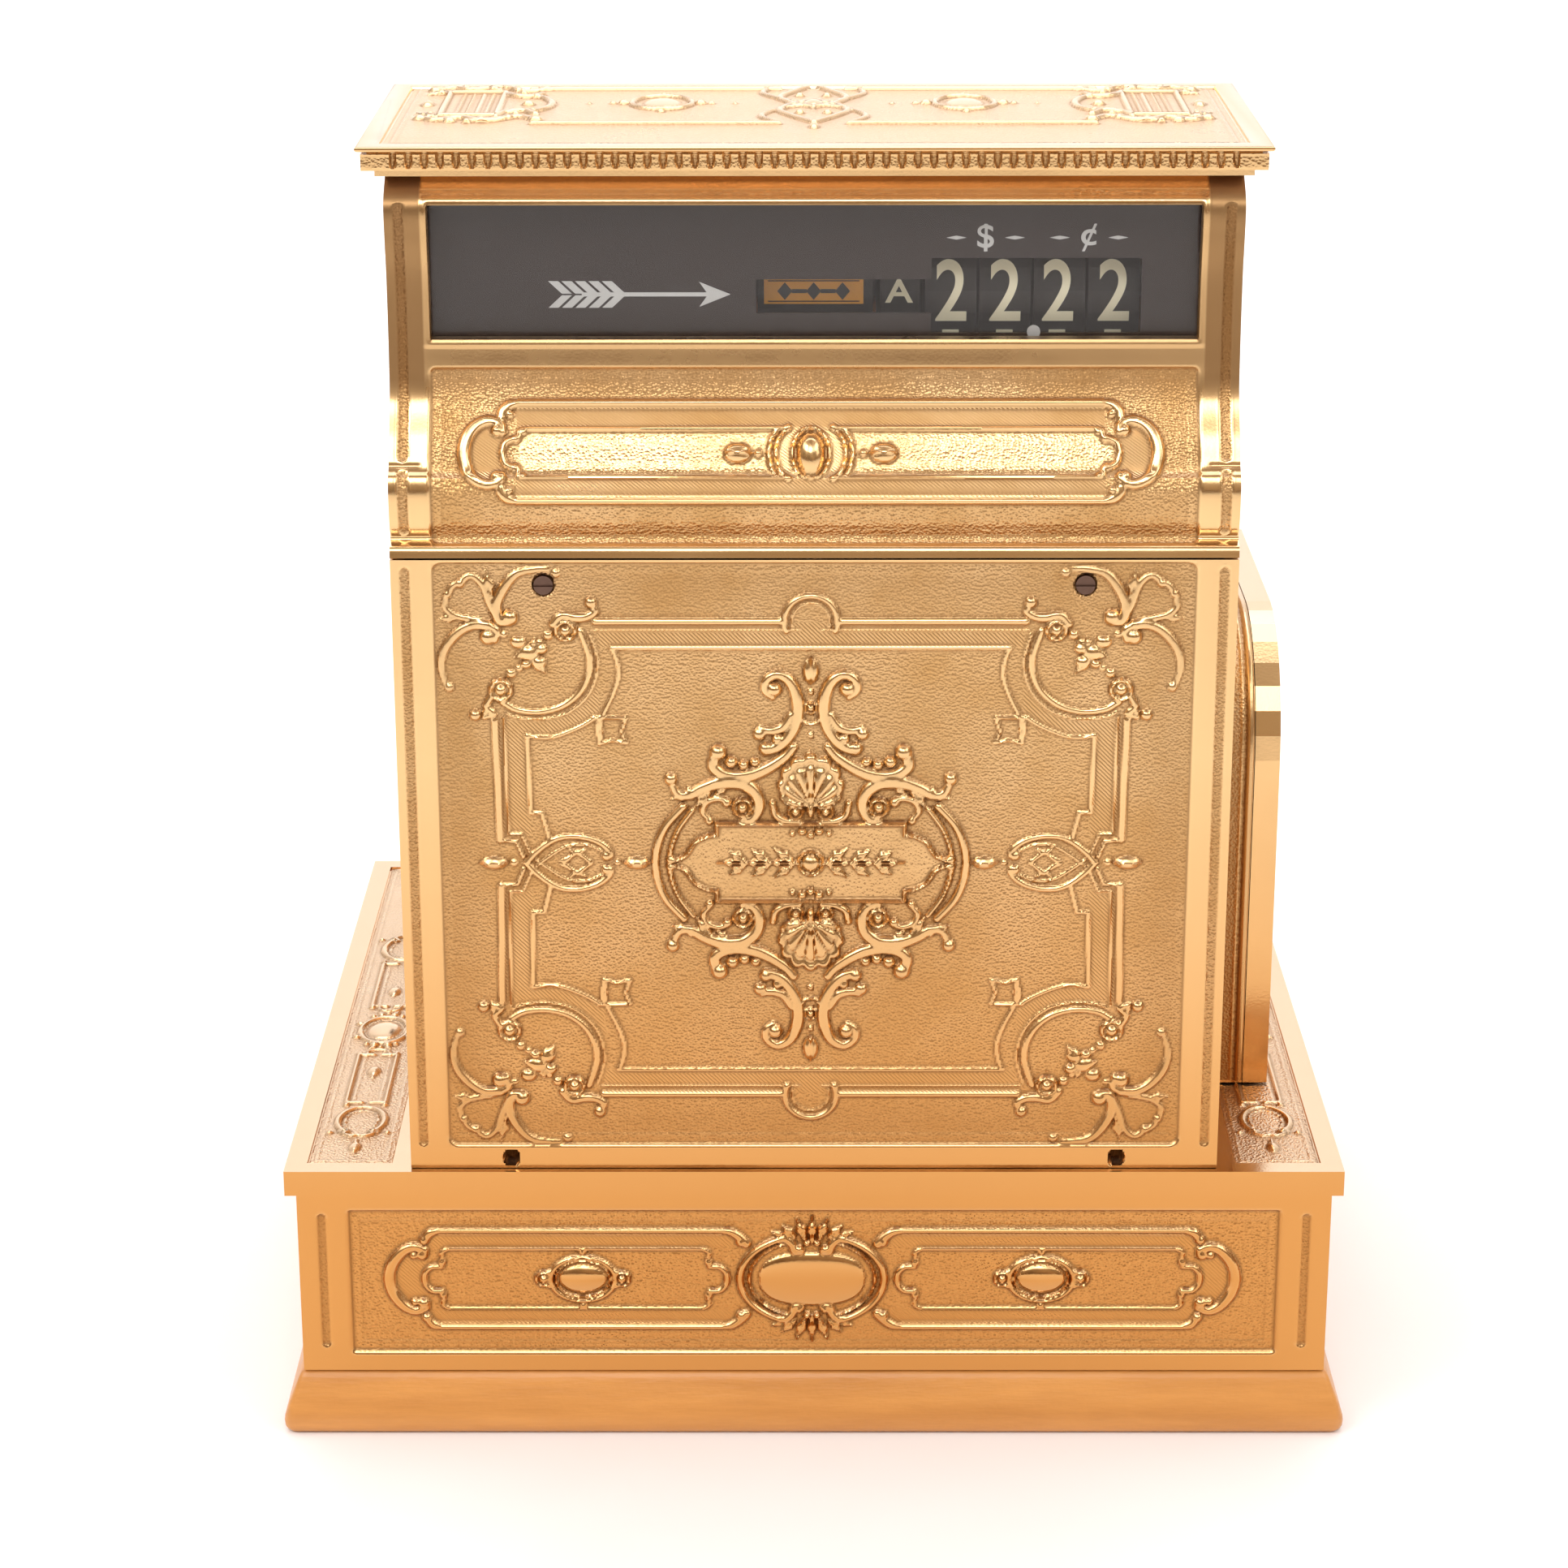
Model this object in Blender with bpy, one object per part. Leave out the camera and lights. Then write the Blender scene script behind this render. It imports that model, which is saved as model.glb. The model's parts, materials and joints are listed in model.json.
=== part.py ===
"""Ornate brass key-bank cash register with a wooden base and a drawer.

Lengths are in millimetres until at() turns them into metres. X runs left to right, Y runs from
the customer's face (0 is the lid's edge) to the operator, and Z runs up from the base.
"""
import math

import bmesh
import bpy
from mathutils import Matrix, Vector

# ---- driving dimensions ------------------------------------------------------------------------
MM = 0.001
GAP = 0.3                     # play between pieces that touch
BASE_X = 255.0                # half the width of the wooden base
BASE_Y = (-4.5, 428.5)        # customer's edge and operator's edge of the base
BASE_TOP = 30.0
CASE_X = 245.0                # half the width of the drawer case
CASE_Y = (3.5, 418.5)
LID_X = 250.0
LID_Y = (0.0, 424.0)
LID_Z = (123.9, 136.3)
BODY_X = 190.0                # half the width of the cabinet
FACE_Y = 4.0                  # the cabinet's face on the customer's side
REAR_Y = 405.0                # the cabinet's face on the operator's side
LEDGE_Z = 434.7               # top of the lower cover on the customer's side
BODY_TOP = 601.0
CORNICE_X = 201.8
CORNICE_Y = (27.5, 205.0)
TOP_Z = 615.2
PLATE = 5.5                   # thickness of side plates
SLOPE_TOP = (193.0, 515.0)    # keyboard slope, upper edge, as (y, z)
SLOPE_END = (400.0, 270.0)    # keyboard slope, lower edge
DRUM_AXIS = (107.0, 545.0)    # shaft of the indicator drums, as (y, z)
DRUM_R = 50.0
DRUM_BORE = 4.1
SHAFT_R = 4.0
MAIN_AXIS = (265.0, 250.0)
CRANK_AXIS = (310.0, 250.0)
CRANK_REACH = 88.0
PINION_TEETH = 12
GEAR_TEETH = 24
MODULE = 2.5                  # pitch diameter of a gear over its number of teeth
BOX_X = (190.4, 212.6)        # printer housing
DOOR_X = (213.0, 225.0)       # printer door
BOX_Y = (105.0, 300.0)
BOX_TOP = 367.0
BOX_ROUND = 62.0              # corner radius of the printer box
HINGE = (219.0, 303.5)        # printer door hinge, as (x, y)
PIN_HOLE_R = 1.62             # bore for the door's hinge pin
LOCK = (128.0, 240.0)         # printer door's lock, as (y, z)
PAPER_AXIS = (215.0, 285.0)
PLATEN_AXIS = (150.0, 215.0)
DRAWER_X = 228.0
DRAWER_Y = (40.0, 404.0)
DRAWER_Z = (36.3, 116.0)
ROLLER_R = 8.0
ROLLER_Y = 330.0
BANKS = {"key_bank_1": 118.0, "key_bank_2": 78.0, "key_bank_3": 38.0, "key_bank_4": -2.0,
         "key_bank_clerk": -66.0}
KEY_PITCH = 30.0
KEYS_PER_BANK = 9
FIRST_KEY = 40.0              # distance of the first key down the slope
AMOUNT_WHEELS = (61.6, 86.1, 110.6, 135.1)
SCREW_AT = (121.7, 422.0)     # screws of the lower cover, as (distance from the middle, z)
HOLE_AT = (142.5, 141.9)      # open holes of the lower cover
COVER_RECESS = ((-172, 172), (148, 433))
AMOUNT_APERTURE = ((52.3, 146.3), (528.6, 562.6))    # openings in the masks, as (x, z) pairs
FLAG_APERTURE = ((-26, 52.6), (537.7, 553.0))
MID_Y = (BASE_Y[0] + BASE_Y[1]) / 2

SLOPE_LENGTH = math.dist(SLOPE_TOP, SLOPE_END)
SLOPE_DOWN = ((SLOPE_END[0] - SLOPE_TOP[0]) / SLOPE_LENGTH, (SLOPE_END[1] - SLOPE_TOP[1]) / SLOPE_LENGTH)
SLOPE_OUT = (-SLOPE_DOWN[1], SLOPE_DOWN[0])

# Customer's side of the upper casting, bottom to top: ledge, bead, cove, window face and neck.
UPPER_FACE = [(4.0, 435.1), (5.6, 439.5), (10.9, 442.5), (8.1, 450.0), (7.0, 463.0), (9.0, 470.5),
              (13.1, 474.5), (18.8, 486.0), (28.5, 502.7), (31.0, 520.0), (32.0, 540.0), (31.8, 559.0),
              (29.5, 575.0), (29.5, 590.0), (41.5, 600.7)]
UPPER_BACK = [(12.0, 435.1), (16.0, 445.0), (15.0, 464.0), (19.0, 476.0), (25.0, 487.0), (35.0, 500.0),
              (38.0, 520.0), (37.5, 575.0), (37.5, 590.0), (46.5, 600.7)]


# ---- helpers -----------------------------------------------------------------------------------
def at(x, y, z):
    """A point in metres, from millimetres measured off the customer's face."""
    return Vector((x, y - MID_Y, z)) * MM


def down_slope(s, h):
    """(y, z) of a point s down the keyboard slope and h above its surface."""
    return (SLOPE_TOP[0] + s * SLOPE_DOWN[0] + h * SLOPE_OUT[0],
            SLOPE_TOP[1] + s * SLOPE_DOWN[1] + h * SLOPE_OUT[1])


def placed(axis, a, b, t):
    """The point with in-plane coordinates a, b and position t along the axis."""
    return {"X": (t, a, b), "Y": (a, t, b), "Z": (a, b, t)}[axis]


def prism(axis, outline, low, high):
    """A bmesh with the outline extruded along an axis from low to high."""
    bm = bmesh.new()
    ends = [[bm.verts.new(at(*placed(axis, a, b, t))) for a, b in outline] for t in (low, high)]
    bm.faces.new(ends[0])
    bm.faces.new(ends[1])
    count = len(outline)
    for i in range(count):
        j = (i + 1) % count
        bm.faces.new((ends[0][i], ends[0][j], ends[1][j], ends[1][i]))
    bmesh.ops.recalc_face_normals(bm, faces=bm.faces)
    return bm


def block(x, y, z):
    """A box from three (low, high) pairs."""
    return prism("X", [(y[0], z[0]), (y[1], z[0]), (y[1], z[1]), (y[0], z[1])], x[0], x[1])


def circle(a, b, radius, sides, start=0.0):
    """Points of a circle in a plane."""
    return [(a + radius * math.cos(start + 2 * math.pi * i / sides),
             b + radius * math.sin(start + 2 * math.pi * i / sides)) for i in range(sides)]


def rod(axis, a, b, radius, low, high, sides=24):
    """A cylinder along an axis."""
    return prism(axis, circle(a, b, radius, sides), low, high)


def turned(axis, a, b, profile, sides=32):
    """A ring or solid of revolution from (radius, position) pairs around an axis."""
    bm = bmesh.new()
    rings = []
    for radius, t in profile:
        if radius == 0:
            rings.append([bm.verts.new(at(*placed(axis, a, b, t)))])
        else:
            rings.append([bm.verts.new(at(*placed(axis, p, q, t))) for p, q in circle(a, b, radius, sides)])
    closed = profile[0][0] > 0
    pairs = list(zip(rings, rings[1:] + rings[:1])) if closed else list(zip(rings, rings[1:]))
    for one, two in pairs:
        for i in range(sides):
            j = (i + 1) % sides
            corners = [one[i % len(one)], one[j % len(one)], two[j % len(two)], two[i % len(two)]]
            bm.faces.new(list(dict.fromkeys(corners)))
    bmesh.ops.recalc_face_normals(bm, faces=bm.faces)
    return bm


def gear_outline(axis, teeth, turn):
    """Outline of a spur gear around a (y, z) axis, one tooth centred at the turn angle."""
    pitch_r = MODULE * teeth / 2
    step = 2 * math.pi / teeth
    points = []
    for i in range(teeth):
        for part, radius in ((-0.27, pitch_r - 2.7), (-0.12, pitch_r + 1.9), (0.12, pitch_r + 1.9),
                             (0.27, pitch_r - 2.7)):
            angle = turn + step * (i + part)
            points.append((axis[0] + radius * math.cos(angle), axis[1] + radius * math.sin(angle)))
    return points


def make_material(name, colour, roughness, metallic=0.0, alpha=1.0):
    """A Principled material."""
    material = bpy.data.materials.new(name)
    material.use_nodes = True
    shader = material.node_tree.nodes["Principled BSDF"]
    shader.inputs["Base Color"].default_value = (*colour, 1.0)
    shader.inputs["Roughness"].default_value = roughness
    shader.inputs["Metallic"].default_value = metallic
    shader.inputs["Alpha"].default_value = alpha
    material.diffuse_color = (*colour, 1.0)
    return material


def as_object(name, bm):
    """An object whose mesh is the bmesh."""
    mesh = bpy.data.meshes.new(name)
    bm.to_mesh(mesh)
    bm.free()
    made = bpy.data.objects.new(name, mesh)
    bpy.context.scene.collection.objects.link(made)
    return made


def combine(target, bm, operation):
    """Boolean of one object with a bmesh, applied."""
    tool = as_object("tool", bm)
    modifier = target.modifiers.new("combine", "BOOLEAN")
    modifier.operation = operation
    modifier.object = tool
    graph = bpy.context.evaluated_depsgraph_get()
    mesh = bpy.data.meshes.new_from_object(target.evaluated_get(graph))
    target.modifiers.clear()
    old_mesh, tool_mesh = target.data, tool.data
    target.data = mesh
    mesh.name = target.name
    bpy.data.objects.remove(tool)
    bpy.data.meshes.remove(tool_mesh)
    bpy.data.meshes.remove(old_mesh)


def piece(name, bm, material, cuts=(), joins=(), origin=None):
    """A finished sub-part: a solid with its joins and cuts, its material and its joint origin."""
    made = as_object(name, bm)
    for shape in joins:
        combine(made, shape, "UNION")
    for shape in cuts:
        combine(made, shape, "DIFFERENCE")
    made.data.materials.clear()
    made.data.materials.append(MATERIALS[material])
    made.data.shade_smooth()
    made.data.set_sharp_from_angle(angle=math.radians(35))
    if origin:
        place = at(*origin)
        made.data.transform(Matrix.Translation(-place))
        made.location = place
    return made


# ---- drawer case -------------------------------------------------------------------------------
def base_board():
    """Moulded wooden board: rounded foot, edge sloping in towards the top, two roller pockets."""
    bm = bmesh.new()
    rings = []
    for z, tuck_x, tuck_y in ((0, 3.0, 3.0), (1.5, 1.0, 1.0), (5, 0, 0), (24, 6.5, 5.0),
                              (28.5, 8.5, 7.0), (BASE_TOP, 10.0, 8.3)):
        x = BASE_X - tuck_x
        y0, y1 = BASE_Y[0] + tuck_y, BASE_Y[1] - tuck_y
        rings.append([bm.verts.new(at(*p, z)) for p in ((-x, y0), (x, y0), (x, y1), (-x, y1))])
    for one, two in zip(rings, rings[1:]):
        for i in range(4):
            j = (i + 1) % 4
            bm.faces.new((one[i], one[j], two[j], two[i]))
    bm.faces.new(rings[0])
    bm.faces.new(rings[-1])
    bmesh.ops.recalc_face_normals(bm, faces=bm.faces)
    pockets = [block((side * 200 - 9, side * 200 + 9), (ROLLER_Y - 10, ROLLER_Y + 10), (17, 31))
               for side in (-1, 1)]
    piece("base_board", bm, "wood", cuts=pockets)


def drawer_rollers():
    """Two rollers with stub axles, sunk in the board, that the drawer runs on."""
    z = DRAWER_Z[0] - GAP - ROLLER_R
    for name, x in (("drawer_roller_left", -200), ("drawer_roller_right", 200)):
        profile = [(0, x - 8), (2, x - 8), (2, x - 6), (ROLLER_R, x - 6), (ROLLER_R, x + 6), (2, x + 6),
                   (2, x + 8), (0, x + 8)]
        piece(name, turned("X", ROLLER_Y, z, profile, 24), "steel", origin=(x, ROLLER_Y, z))


def case_walls():
    """Plain side walls of the drawer case."""
    z = (BASE_TOP + GAP, LID_Z[0] - GAP)
    y = (CASE_Y[0] + 8.5, CASE_Y[1])
    for name, x in (("case_left_wall", (-CASE_X, -CASE_X + 8)), ("case_right_wall", (CASE_X - 8, CASE_X))):
        inset = (x[0] - 1, x[0] + 1.2) if x[0] < 0 else (x[1] - 1.2, x[1] + 1)
        recess = block(inset, (y[0] + 22, y[1] - 30), (z[0] + 9, z[1] - 9))
        piece(name, block(x, y, z), "brass", cuts=[recess])


def case_rear_panel():
    """Cast panel of the drawer case on the customer's side, with medallion bosses in its recess."""
    z = (BASE_TOP + GAP, LID_Z[0] - GAP)
    recess = block((-221.3, 221.3), (CASE_Y[0] - 1, CASE_Y[0] + 2), (39.6, 114.6))
    made = piece("case_rear_panel", block((-CASE_X, CASE_X), (CASE_Y[0], CASE_Y[0] + 8), z), "brass",
                 cuts=[recess])
    for x, wide, high in ((-111, 15, 11), (0, 37, 22), (111, 15, 11)):
        outline = [(x + wide * math.cos(t), 76 + high * math.sin(t))
                   for t in (2 * math.pi * i / 24 for i in range(24))]
        combine(made, prism("Y", outline, CASE_Y[0] + 0.4, CASE_Y[0] + 4), "UNION")


def case_lid():
    """Plate over the drawer, with sunk strips beside the cabinet and a slot for the latch."""
    strips = [block((side * 219.5 - 20.5, side * 219.5 + 20.5), (10, 414), (LID_Z[1] - 1.2, LID_Z[1] + 1))
              for side in (-1, 1)]
    slot = block((-9, 9), (52, 78), (LID_Z[0] - 1, LID_Z[1] + 1))
    piece("case_lid", block((-LID_X, LID_X), LID_Y, LID_Z), "brass", cuts=[*strips, slot])


def drawer():
    """Wooden tray with bill compartments, a lift-out coin insert, a front, a pull and a lock."""
    x, y, z = DRAWER_X, DRAWER_Y, DRAWER_Z
    wall = 7.0
    split_y = 236.0
    floor_z = z[0] + wall
    bills = []
    width = (2 * (x - wall) - 2 * 6) / 3
    for i in range(3):
        low = -x + wall + i * (width + 6)
        bills.append(block((low, low + width), (y[0] + wall, split_y), (floor_z, z[1] + 1)))
    coins = block((-x + wall, x - wall), (split_y + wall, y[1] - wall), (floor_z, z[1] + 1))
    piece("drawer_tray", block((-x, x), y, z), "drawer_wood", cuts=[*bills, coins])

    inner_y = (split_y + wall + 0.5, y[1] - wall - 0.5)
    bowls = []
    pitch = 2 * (x - wall) / 5
    for i in range(5):
        middle = -x + wall + pitch * (i + 0.5)
        half = pitch / 2 - 4
        trough = [(middle - half, z[1]), (middle - half, floor_z + 32)]
        trough += [(middle - half * math.cos(t), floor_z + 32 - 26 * math.sin(t))
                   for t in (math.pi * k / 8 for k in range(1, 8))]
        trough += [(middle + half, floor_z + 32), (middle + half, z[1])]
        bowls.append(prism("Y", trough, inner_y[0] + 5, inner_y[1] - 5))
    piece("till_insert", block((-x + wall + 0.5, x - wall - 0.5), inner_y, (floor_z + 0.3, floor_z + 42)),
          "drawer_wood", cuts=bowls)

    front_y = (y[1] + GAP, y[1] + GAP + 9)
    recess = block((-206, 206), (front_y[1] - 1.5, front_y[1] + 1), (45, 108))
    keyhole = rod("Y", 0, 98, 9.4, front_y[0] - 1, front_y[1] + 1)
    piece("drawer_front", block((-234, 234), front_y, (33, 121)), "brass", cuts=[recess, keyhole])
    lock_profile = [(0, front_y[0]), (9, front_y[0]), (9, front_y[1] + 1), (0, front_y[1] + 1)]
    piece("drawer_lock", turned("Y", 0, 98, lock_profile, 24), "steel",
          cuts=[block((-0.8, 0.8), (front_y[1] - 1, front_y[1] + 2), (93, 103))],
          origin=(0, front_y[0], 98))

    back = front_y[1] - 1.5 + GAP
    posts = [block((s * 42 - 5, s * 42 + 5), (back, back + 14), (58, 68)) for s in (-1, 1)]
    piece("drawer_pull", block((-47, 47), (back + 8, back + 14), (58, 68)), "brass", joins=posts)


def bill_clips():
    """Hinged weights that press the banknotes down, on the tray's rear wall."""
    pivot_y, pivot_z = DRAWER_Y[0] + 11.5, 104.0
    for i, x in enumerate((-149, 0, 149)):
        arm = prism("X", [(pivot_y - 1, pivot_z - 2), (pivot_y + 1.5, pivot_z + 1), (pivot_y + 74, 52),
                          (pivot_y + 96, 49), (pivot_y + 96, 46.5), (pivot_y + 72, 49)], x - 9, x + 9)
        piece(f"bill_clip_{i + 1}", rod("X", pivot_y, pivot_z, 3.5, x - 22, x + 22, 16), "steel",
              joins=[arm], origin=(x, pivot_y, pivot_z))


def drawer_spring():
    """Coil spring behind the drawer that kicks it open, squeezed while the drawer is shut."""
    path = bpy.data.curves.new("drawer_spring", "CURVE")
    path.dimensions = "3D"
    path.bevel_depth = 0.9 * MM
    path.bevel_resolution = 0
    path.use_fill_caps = True
    turns, per_turn, radius = 4, 12, 7.0
    length = DRAWER_Y[0] - 1.6 - (CASE_Y[0] + 9.6)
    line = path.splines.new("POLY")
    line.points.add(turns * per_turn)
    for i, point in enumerate(line.points):
        angle = 2 * math.pi * i / per_turn
        spot = at(-120 + radius * math.cos(angle), CASE_Y[0] + 9.6 + length * i / (turns * per_turn),
                  76 + radius * math.sin(angle))
        point.co = (*spot, 1.0)
    made = bpy.data.objects.new("drawer_spring", path)
    made.data.materials.append(MATERIALS["steel"])
    bpy.context.scene.collection.objects.link(made)


def drawer_latch():
    """Pivoted hook over the lid that drops in front of the tray's rear wall."""
    pivot = (110.0, 152.0)
    arm = prism("X", [(pivot[0], pivot[1] + 5), (60, 156), (56, 152), (56, 126), (60, 126), (63, 146),
                      (pivot[0], pivot[1] - 5)], -4, 4)
    piece("drawer_latch", rod("X", *pivot, 7, -6, 6, 20), "steel", joins=[arm],
          cuts=[rod("X", *pivot, 3.15, -8, 8, 20)], origin=(0, *pivot))
    post = block((-16, -7), (104, 116), (LID_Z[1] + GAP, 158))
    piece("latch_pin", rod("X", *pivot, 3.0, -12, 12, 20), "steel", joins=[post])


# ---- cabinet -----------------------------------------------------------------------------------
def cabinet_sides():
    """Side plates that follow the customer's side castings and the keyboard slope."""
    top = BODY_TOP - GAP
    inner = [(y + 0.4, z) for y, z in UPPER_BACK]
    slope = down_slope(SLOPE_LENGTH, -5.4)
    outline = [(12.4, LID_Z[1] + GAP), (12.4, 435.1), *inner[1:], (186.6, top), (186.6, 514.0), slope,
               (399.6, slope[1] - 4.4), (399.6, LID_Z[1] + GAP)]
    crank_hole = rod("X", *CRANK_AXIS, 6.6, -BODY_X - 1, -BODY_X + PLATE + 1)
    piece("cabinet_left_side", prism("X", outline, -BODY_X, -BODY_X + PLATE), "brass", cuts=[crank_hole])
    piece("cabinet_right_side", prism("X", outline, BODY_X - PLATE, BODY_X), "brass")


def back_cover():
    """Lower cover on the customer's side, with an oval boss in its recess and four screw holes."""
    z = (LID_Z[1] + GAP, LEDGE_Z)
    recess = block(COVER_RECESS[0], (FACE_Y - 1, FACE_Y + 2), COVER_RECESS[1])
    holes = [rod("Y", side * SCREW_AT[0], SCREW_AT[1], 4.8, FACE_Y - 1, FACE_Y + 4.2, 20) for side in (-1, 1)]
    holes += [rod("Y", side * SCREW_AT[0], SCREW_AT[1], 2.2, FACE_Y, FACE_Y + 9, 12) for side in (-1, 1)]
    holes += [rod("Y", side * HOLE_AT[0], HOLE_AT[1], 3.7, FACE_Y - 1, FACE_Y + 9, 20) for side in (-1, 1)]
    made = piece("back_cover", block((-BODY_X, BODY_X), (FACE_Y, FACE_Y + 8), z), "brass", cuts=[recess])
    boss = [(72 * math.cos(t), 290 + 62 * math.sin(t)) for t in (2 * math.pi * i / 40 for i in range(40))]
    combine(made, prism("Y", boss, FACE_Y + 0.5, FACE_Y + 4), "UNION")
    for hole in holes:
        combine(made, hole, "DIFFERENCE")


def cover_screws():
    """Slotted screws of the lower cover."""
    z = SCREW_AT[1]
    for name, x in (("cover_screw_left", -SCREW_AT[0]), ("cover_screw_right", SCREW_AT[0])):
        profile = [(0, FACE_Y + 1.5), (4.4, FACE_Y + 1.5), (4.4, FACE_Y + 4), (2, FACE_Y + 4),
                   (2, FACE_Y + 16), (0, FACE_Y + 16)]
        slot = block((x - 6, x + 6), (FACE_Y, FACE_Y + 2.5), (z - 0.6, z + 0.6))
        piece(name, turned("Y", x, z, profile, 20), "steel", cuts=[slot])


def upper_rear_casting():
    """Customer's side casting with the curved panel and the indicator window."""
    outline = UPPER_FACE + UPPER_BACK[::-1]
    window = block((-171, 171), (20, 45), (528, 589.5))
    piece("upper_rear_casting", prism("X", outline, -BODY_X, BODY_X), "brass", cuts=[window])


def top_cover():
    """Top cover: cornice profile swept around four sides, with a sunk panel."""
    reach = 13.8
    steps = [(6, BODY_TOP), (6, 604.5), (11, 606.5), (11.5, 611.5), (reach, 612.6), (reach, TOP_Z)]
    bm = bmesh.new()
    rings = []
    for out, z in steps:
        tuck = reach - out
        x = CORNICE_X - tuck
        y0, y1 = CORNICE_Y[0] + tuck, CORNICE_Y[1] - tuck
        rings.append([bm.verts.new(at(*p, z)) for p in ((-x, y0), (x, y0), (x, y1), (-x, y1))])
    for one, two in zip(rings, rings[1:]):
        for i in range(4):
            j = (i + 1) % 4
            bm.faces.new((one[i], one[j], two[j], two[i]))
    bm.faces.new(rings[0])
    bm.faces.new(rings[-1])
    bmesh.ops.recalc_face_normals(bm, faces=bm.faces)
    sunk = block((-192, 192), (35, 196), (TOP_Z - 1.2, TOP_Z + 1))
    hollow = block((-184, 184), (47, 184), (BODY_TOP - 1, 609))
    piece("top_cover", bm, "brass", cuts=[sunk, hollow])


def windows():
    """Glass panes and the dark masks behind them, on both sides."""
    piece("rear_glass", block((-173, 173), (38.6, 40.6), (524, 591)), "glass")
    amounts = block(AMOUNT_APERTURE[0], (43, 47), AMOUNT_APERTURE[1])
    flags = block(FLAG_APERTURE[0], (43, 47), FLAG_APERTURE[1])
    piece("rear_mask", block((-176, 176), (44, 45.2), (514, 597)), "mask", cuts=[amounts, flags])
    window = block((-160, 160), (180, 200), (528, 588))
    piece("front_upper_casting", block((-BODY_X, BODY_X), (187, 193), (SLOPE_TOP[1] + 0.6, BODY_TOP - GAP)),
          "brass", cuts=[window])
    piece("front_glass", block((-164, 164), (184.3, 186.3), (524, 592)), "glass")
    amounts = block(AMOUNT_APERTURE[0], (165, 169), AMOUNT_APERTURE[1])
    flags = block(FLAG_APERTURE[0], (165, 169), FLAG_APERTURE[1])
    piece("front_mask", block((-170, 170), (166, 167.2), (519, 597)), "mask", cuts=[amounts, flags])


def slope_block(x, s, h):
    """A box standing square to the keyboard slope."""
    return prism("X", [down_slope(s[0], h[0]), down_slope(s[1], h[0]), down_slope(s[1], h[1]),
                       down_slope(s[0], h[1])], x[0], x[1])


def keyboard():
    """Sloped plate with one slot for each bank of keys and one for each single key."""
    slots = [slope_block((x - 3.2, x + 3.2), (28, 292), (-8, 4)) for x in BANKS.values()]
    slots.append(slope_block((-130, -122), (73, 87), (-8, 4)))
    slots.append(slope_block((-130, -122), (203, 237), (-8, 4)))
    piece("keyboard_panel", slope_block((-BODY_X, BODY_X), (0, SLOPE_LENGTH), (-5, 0)), "brass", cuts=slots)
    recess = block((-160, 160), (REAR_Y - 1.5, REAR_Y + 1), (155, 250))
    piece("front_lower_panel", block((-BODY_X, BODY_X), (400, REAR_Y), (LID_Z[1] + GAP, 269.2)), "brass",
          cuts=[recess])


def key_cap(x, s, radius, low, high, sides=10):
    """A round key top square to the slope."""
    bm = bmesh.new()
    rings = []
    for h, r in ((low, radius * 0.85), (low + 1.2, radius), (high, radius)):
        ring = []
        for i in range(sides):
            angle = 2 * math.pi * i / sides
            y, z = down_slope(s + r * math.sin(angle), h)
            ring.append(bm.verts.new(at(x + r * math.cos(angle), y, z)))
        rings.append(ring)
    for one, two in zip(rings, rings[1:]):
        for i in range(sides):
            j = (i + 1) % sides
            bm.faces.new((one[i], one[j], two[j], two[i]))
    bm.faces.new(rings[0])
    bm.faces.new(rings[-1])
    bmesh.ops.recalc_face_normals(bm, faces=bm.faces)
    return bm


def key_banks():
    """Each bank: a carrier strip below the plate whose stems hold nine round keys above it."""
    for name, x in BANKS.items():
        outline = [down_slope(30, -20), down_slope(30, -12)]
        for i in range(KEYS_PER_BANK):
            s = FIRST_KEY + KEY_PITCH * i
            outline += [down_slope(s - 3, -12), down_slope(s - 3, 10), down_slope(s + 3, 10),
                        down_slope(s + 3, -12)]
        outline += [down_slope(290, -12), down_slope(290, -20)]
        caps = [key_cap(x, FIRST_KEY + KEY_PITCH * i, 9.5, 9, 13.5) for i in range(KEYS_PER_BANK)]
        middle = down_slope(160, 0)
        piece(name, prism("X", outline, x - 2, x + 2), "key_top", joins=caps, origin=(x, *middle))


def single_keys():
    """No-sale key with a round top and total key with a long bar top."""
    stem = slope_block((-129, -123), (75, 85), (-20, 10))
    piece("key_no_sale", stem, "key_red", joins=[key_cap(-126, 80, 13, 9, 14, 20)],
          origin=(-126, *down_slope(80, 0)))
    stem = slope_block((-129, -123), (205, 235), (-20, 10))
    piece("key_total", stem, "key_top", joins=[slope_block((-138, -114), (185, 255), (9, 15))],
          origin=(-126, *down_slope(220, 0)))


# ---- indicator ---------------------------------------------------------------------------------
def drum(name, x, half_width, material):
    """A dished wheel: hub, web and rim, with a running bore."""
    low, high = x - half_width, x + half_width
    profile = [(DRUM_BORE, low), (DRUM_R, low), (DRUM_R, high), (46, high), (46, low + 2), (10, low + 2),
               (10, high), (DRUM_BORE, high)]
    piece(name, turned("X", *DRUM_AXIS, profile, 30), material, origin=(x, *DRUM_AXIS))


def indicator():
    """Shaft with four amount wheels, the clerk wheel and the wide transaction drum."""
    piece("indicator_shaft", rod("X", *DRUM_AXIS, SHAFT_R, -178, 178), "steel")
    for i, x in enumerate(AMOUNT_WHEELS):
        drum(f"amount_wheel_{i + 1}", x, 11.6, "wheel_black")
    drum("clerk_wheel", 38.7, 9.0, "wheel_black")
    drum("transaction_drum", 0.6, 26.0, "wheel_amber")


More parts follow.
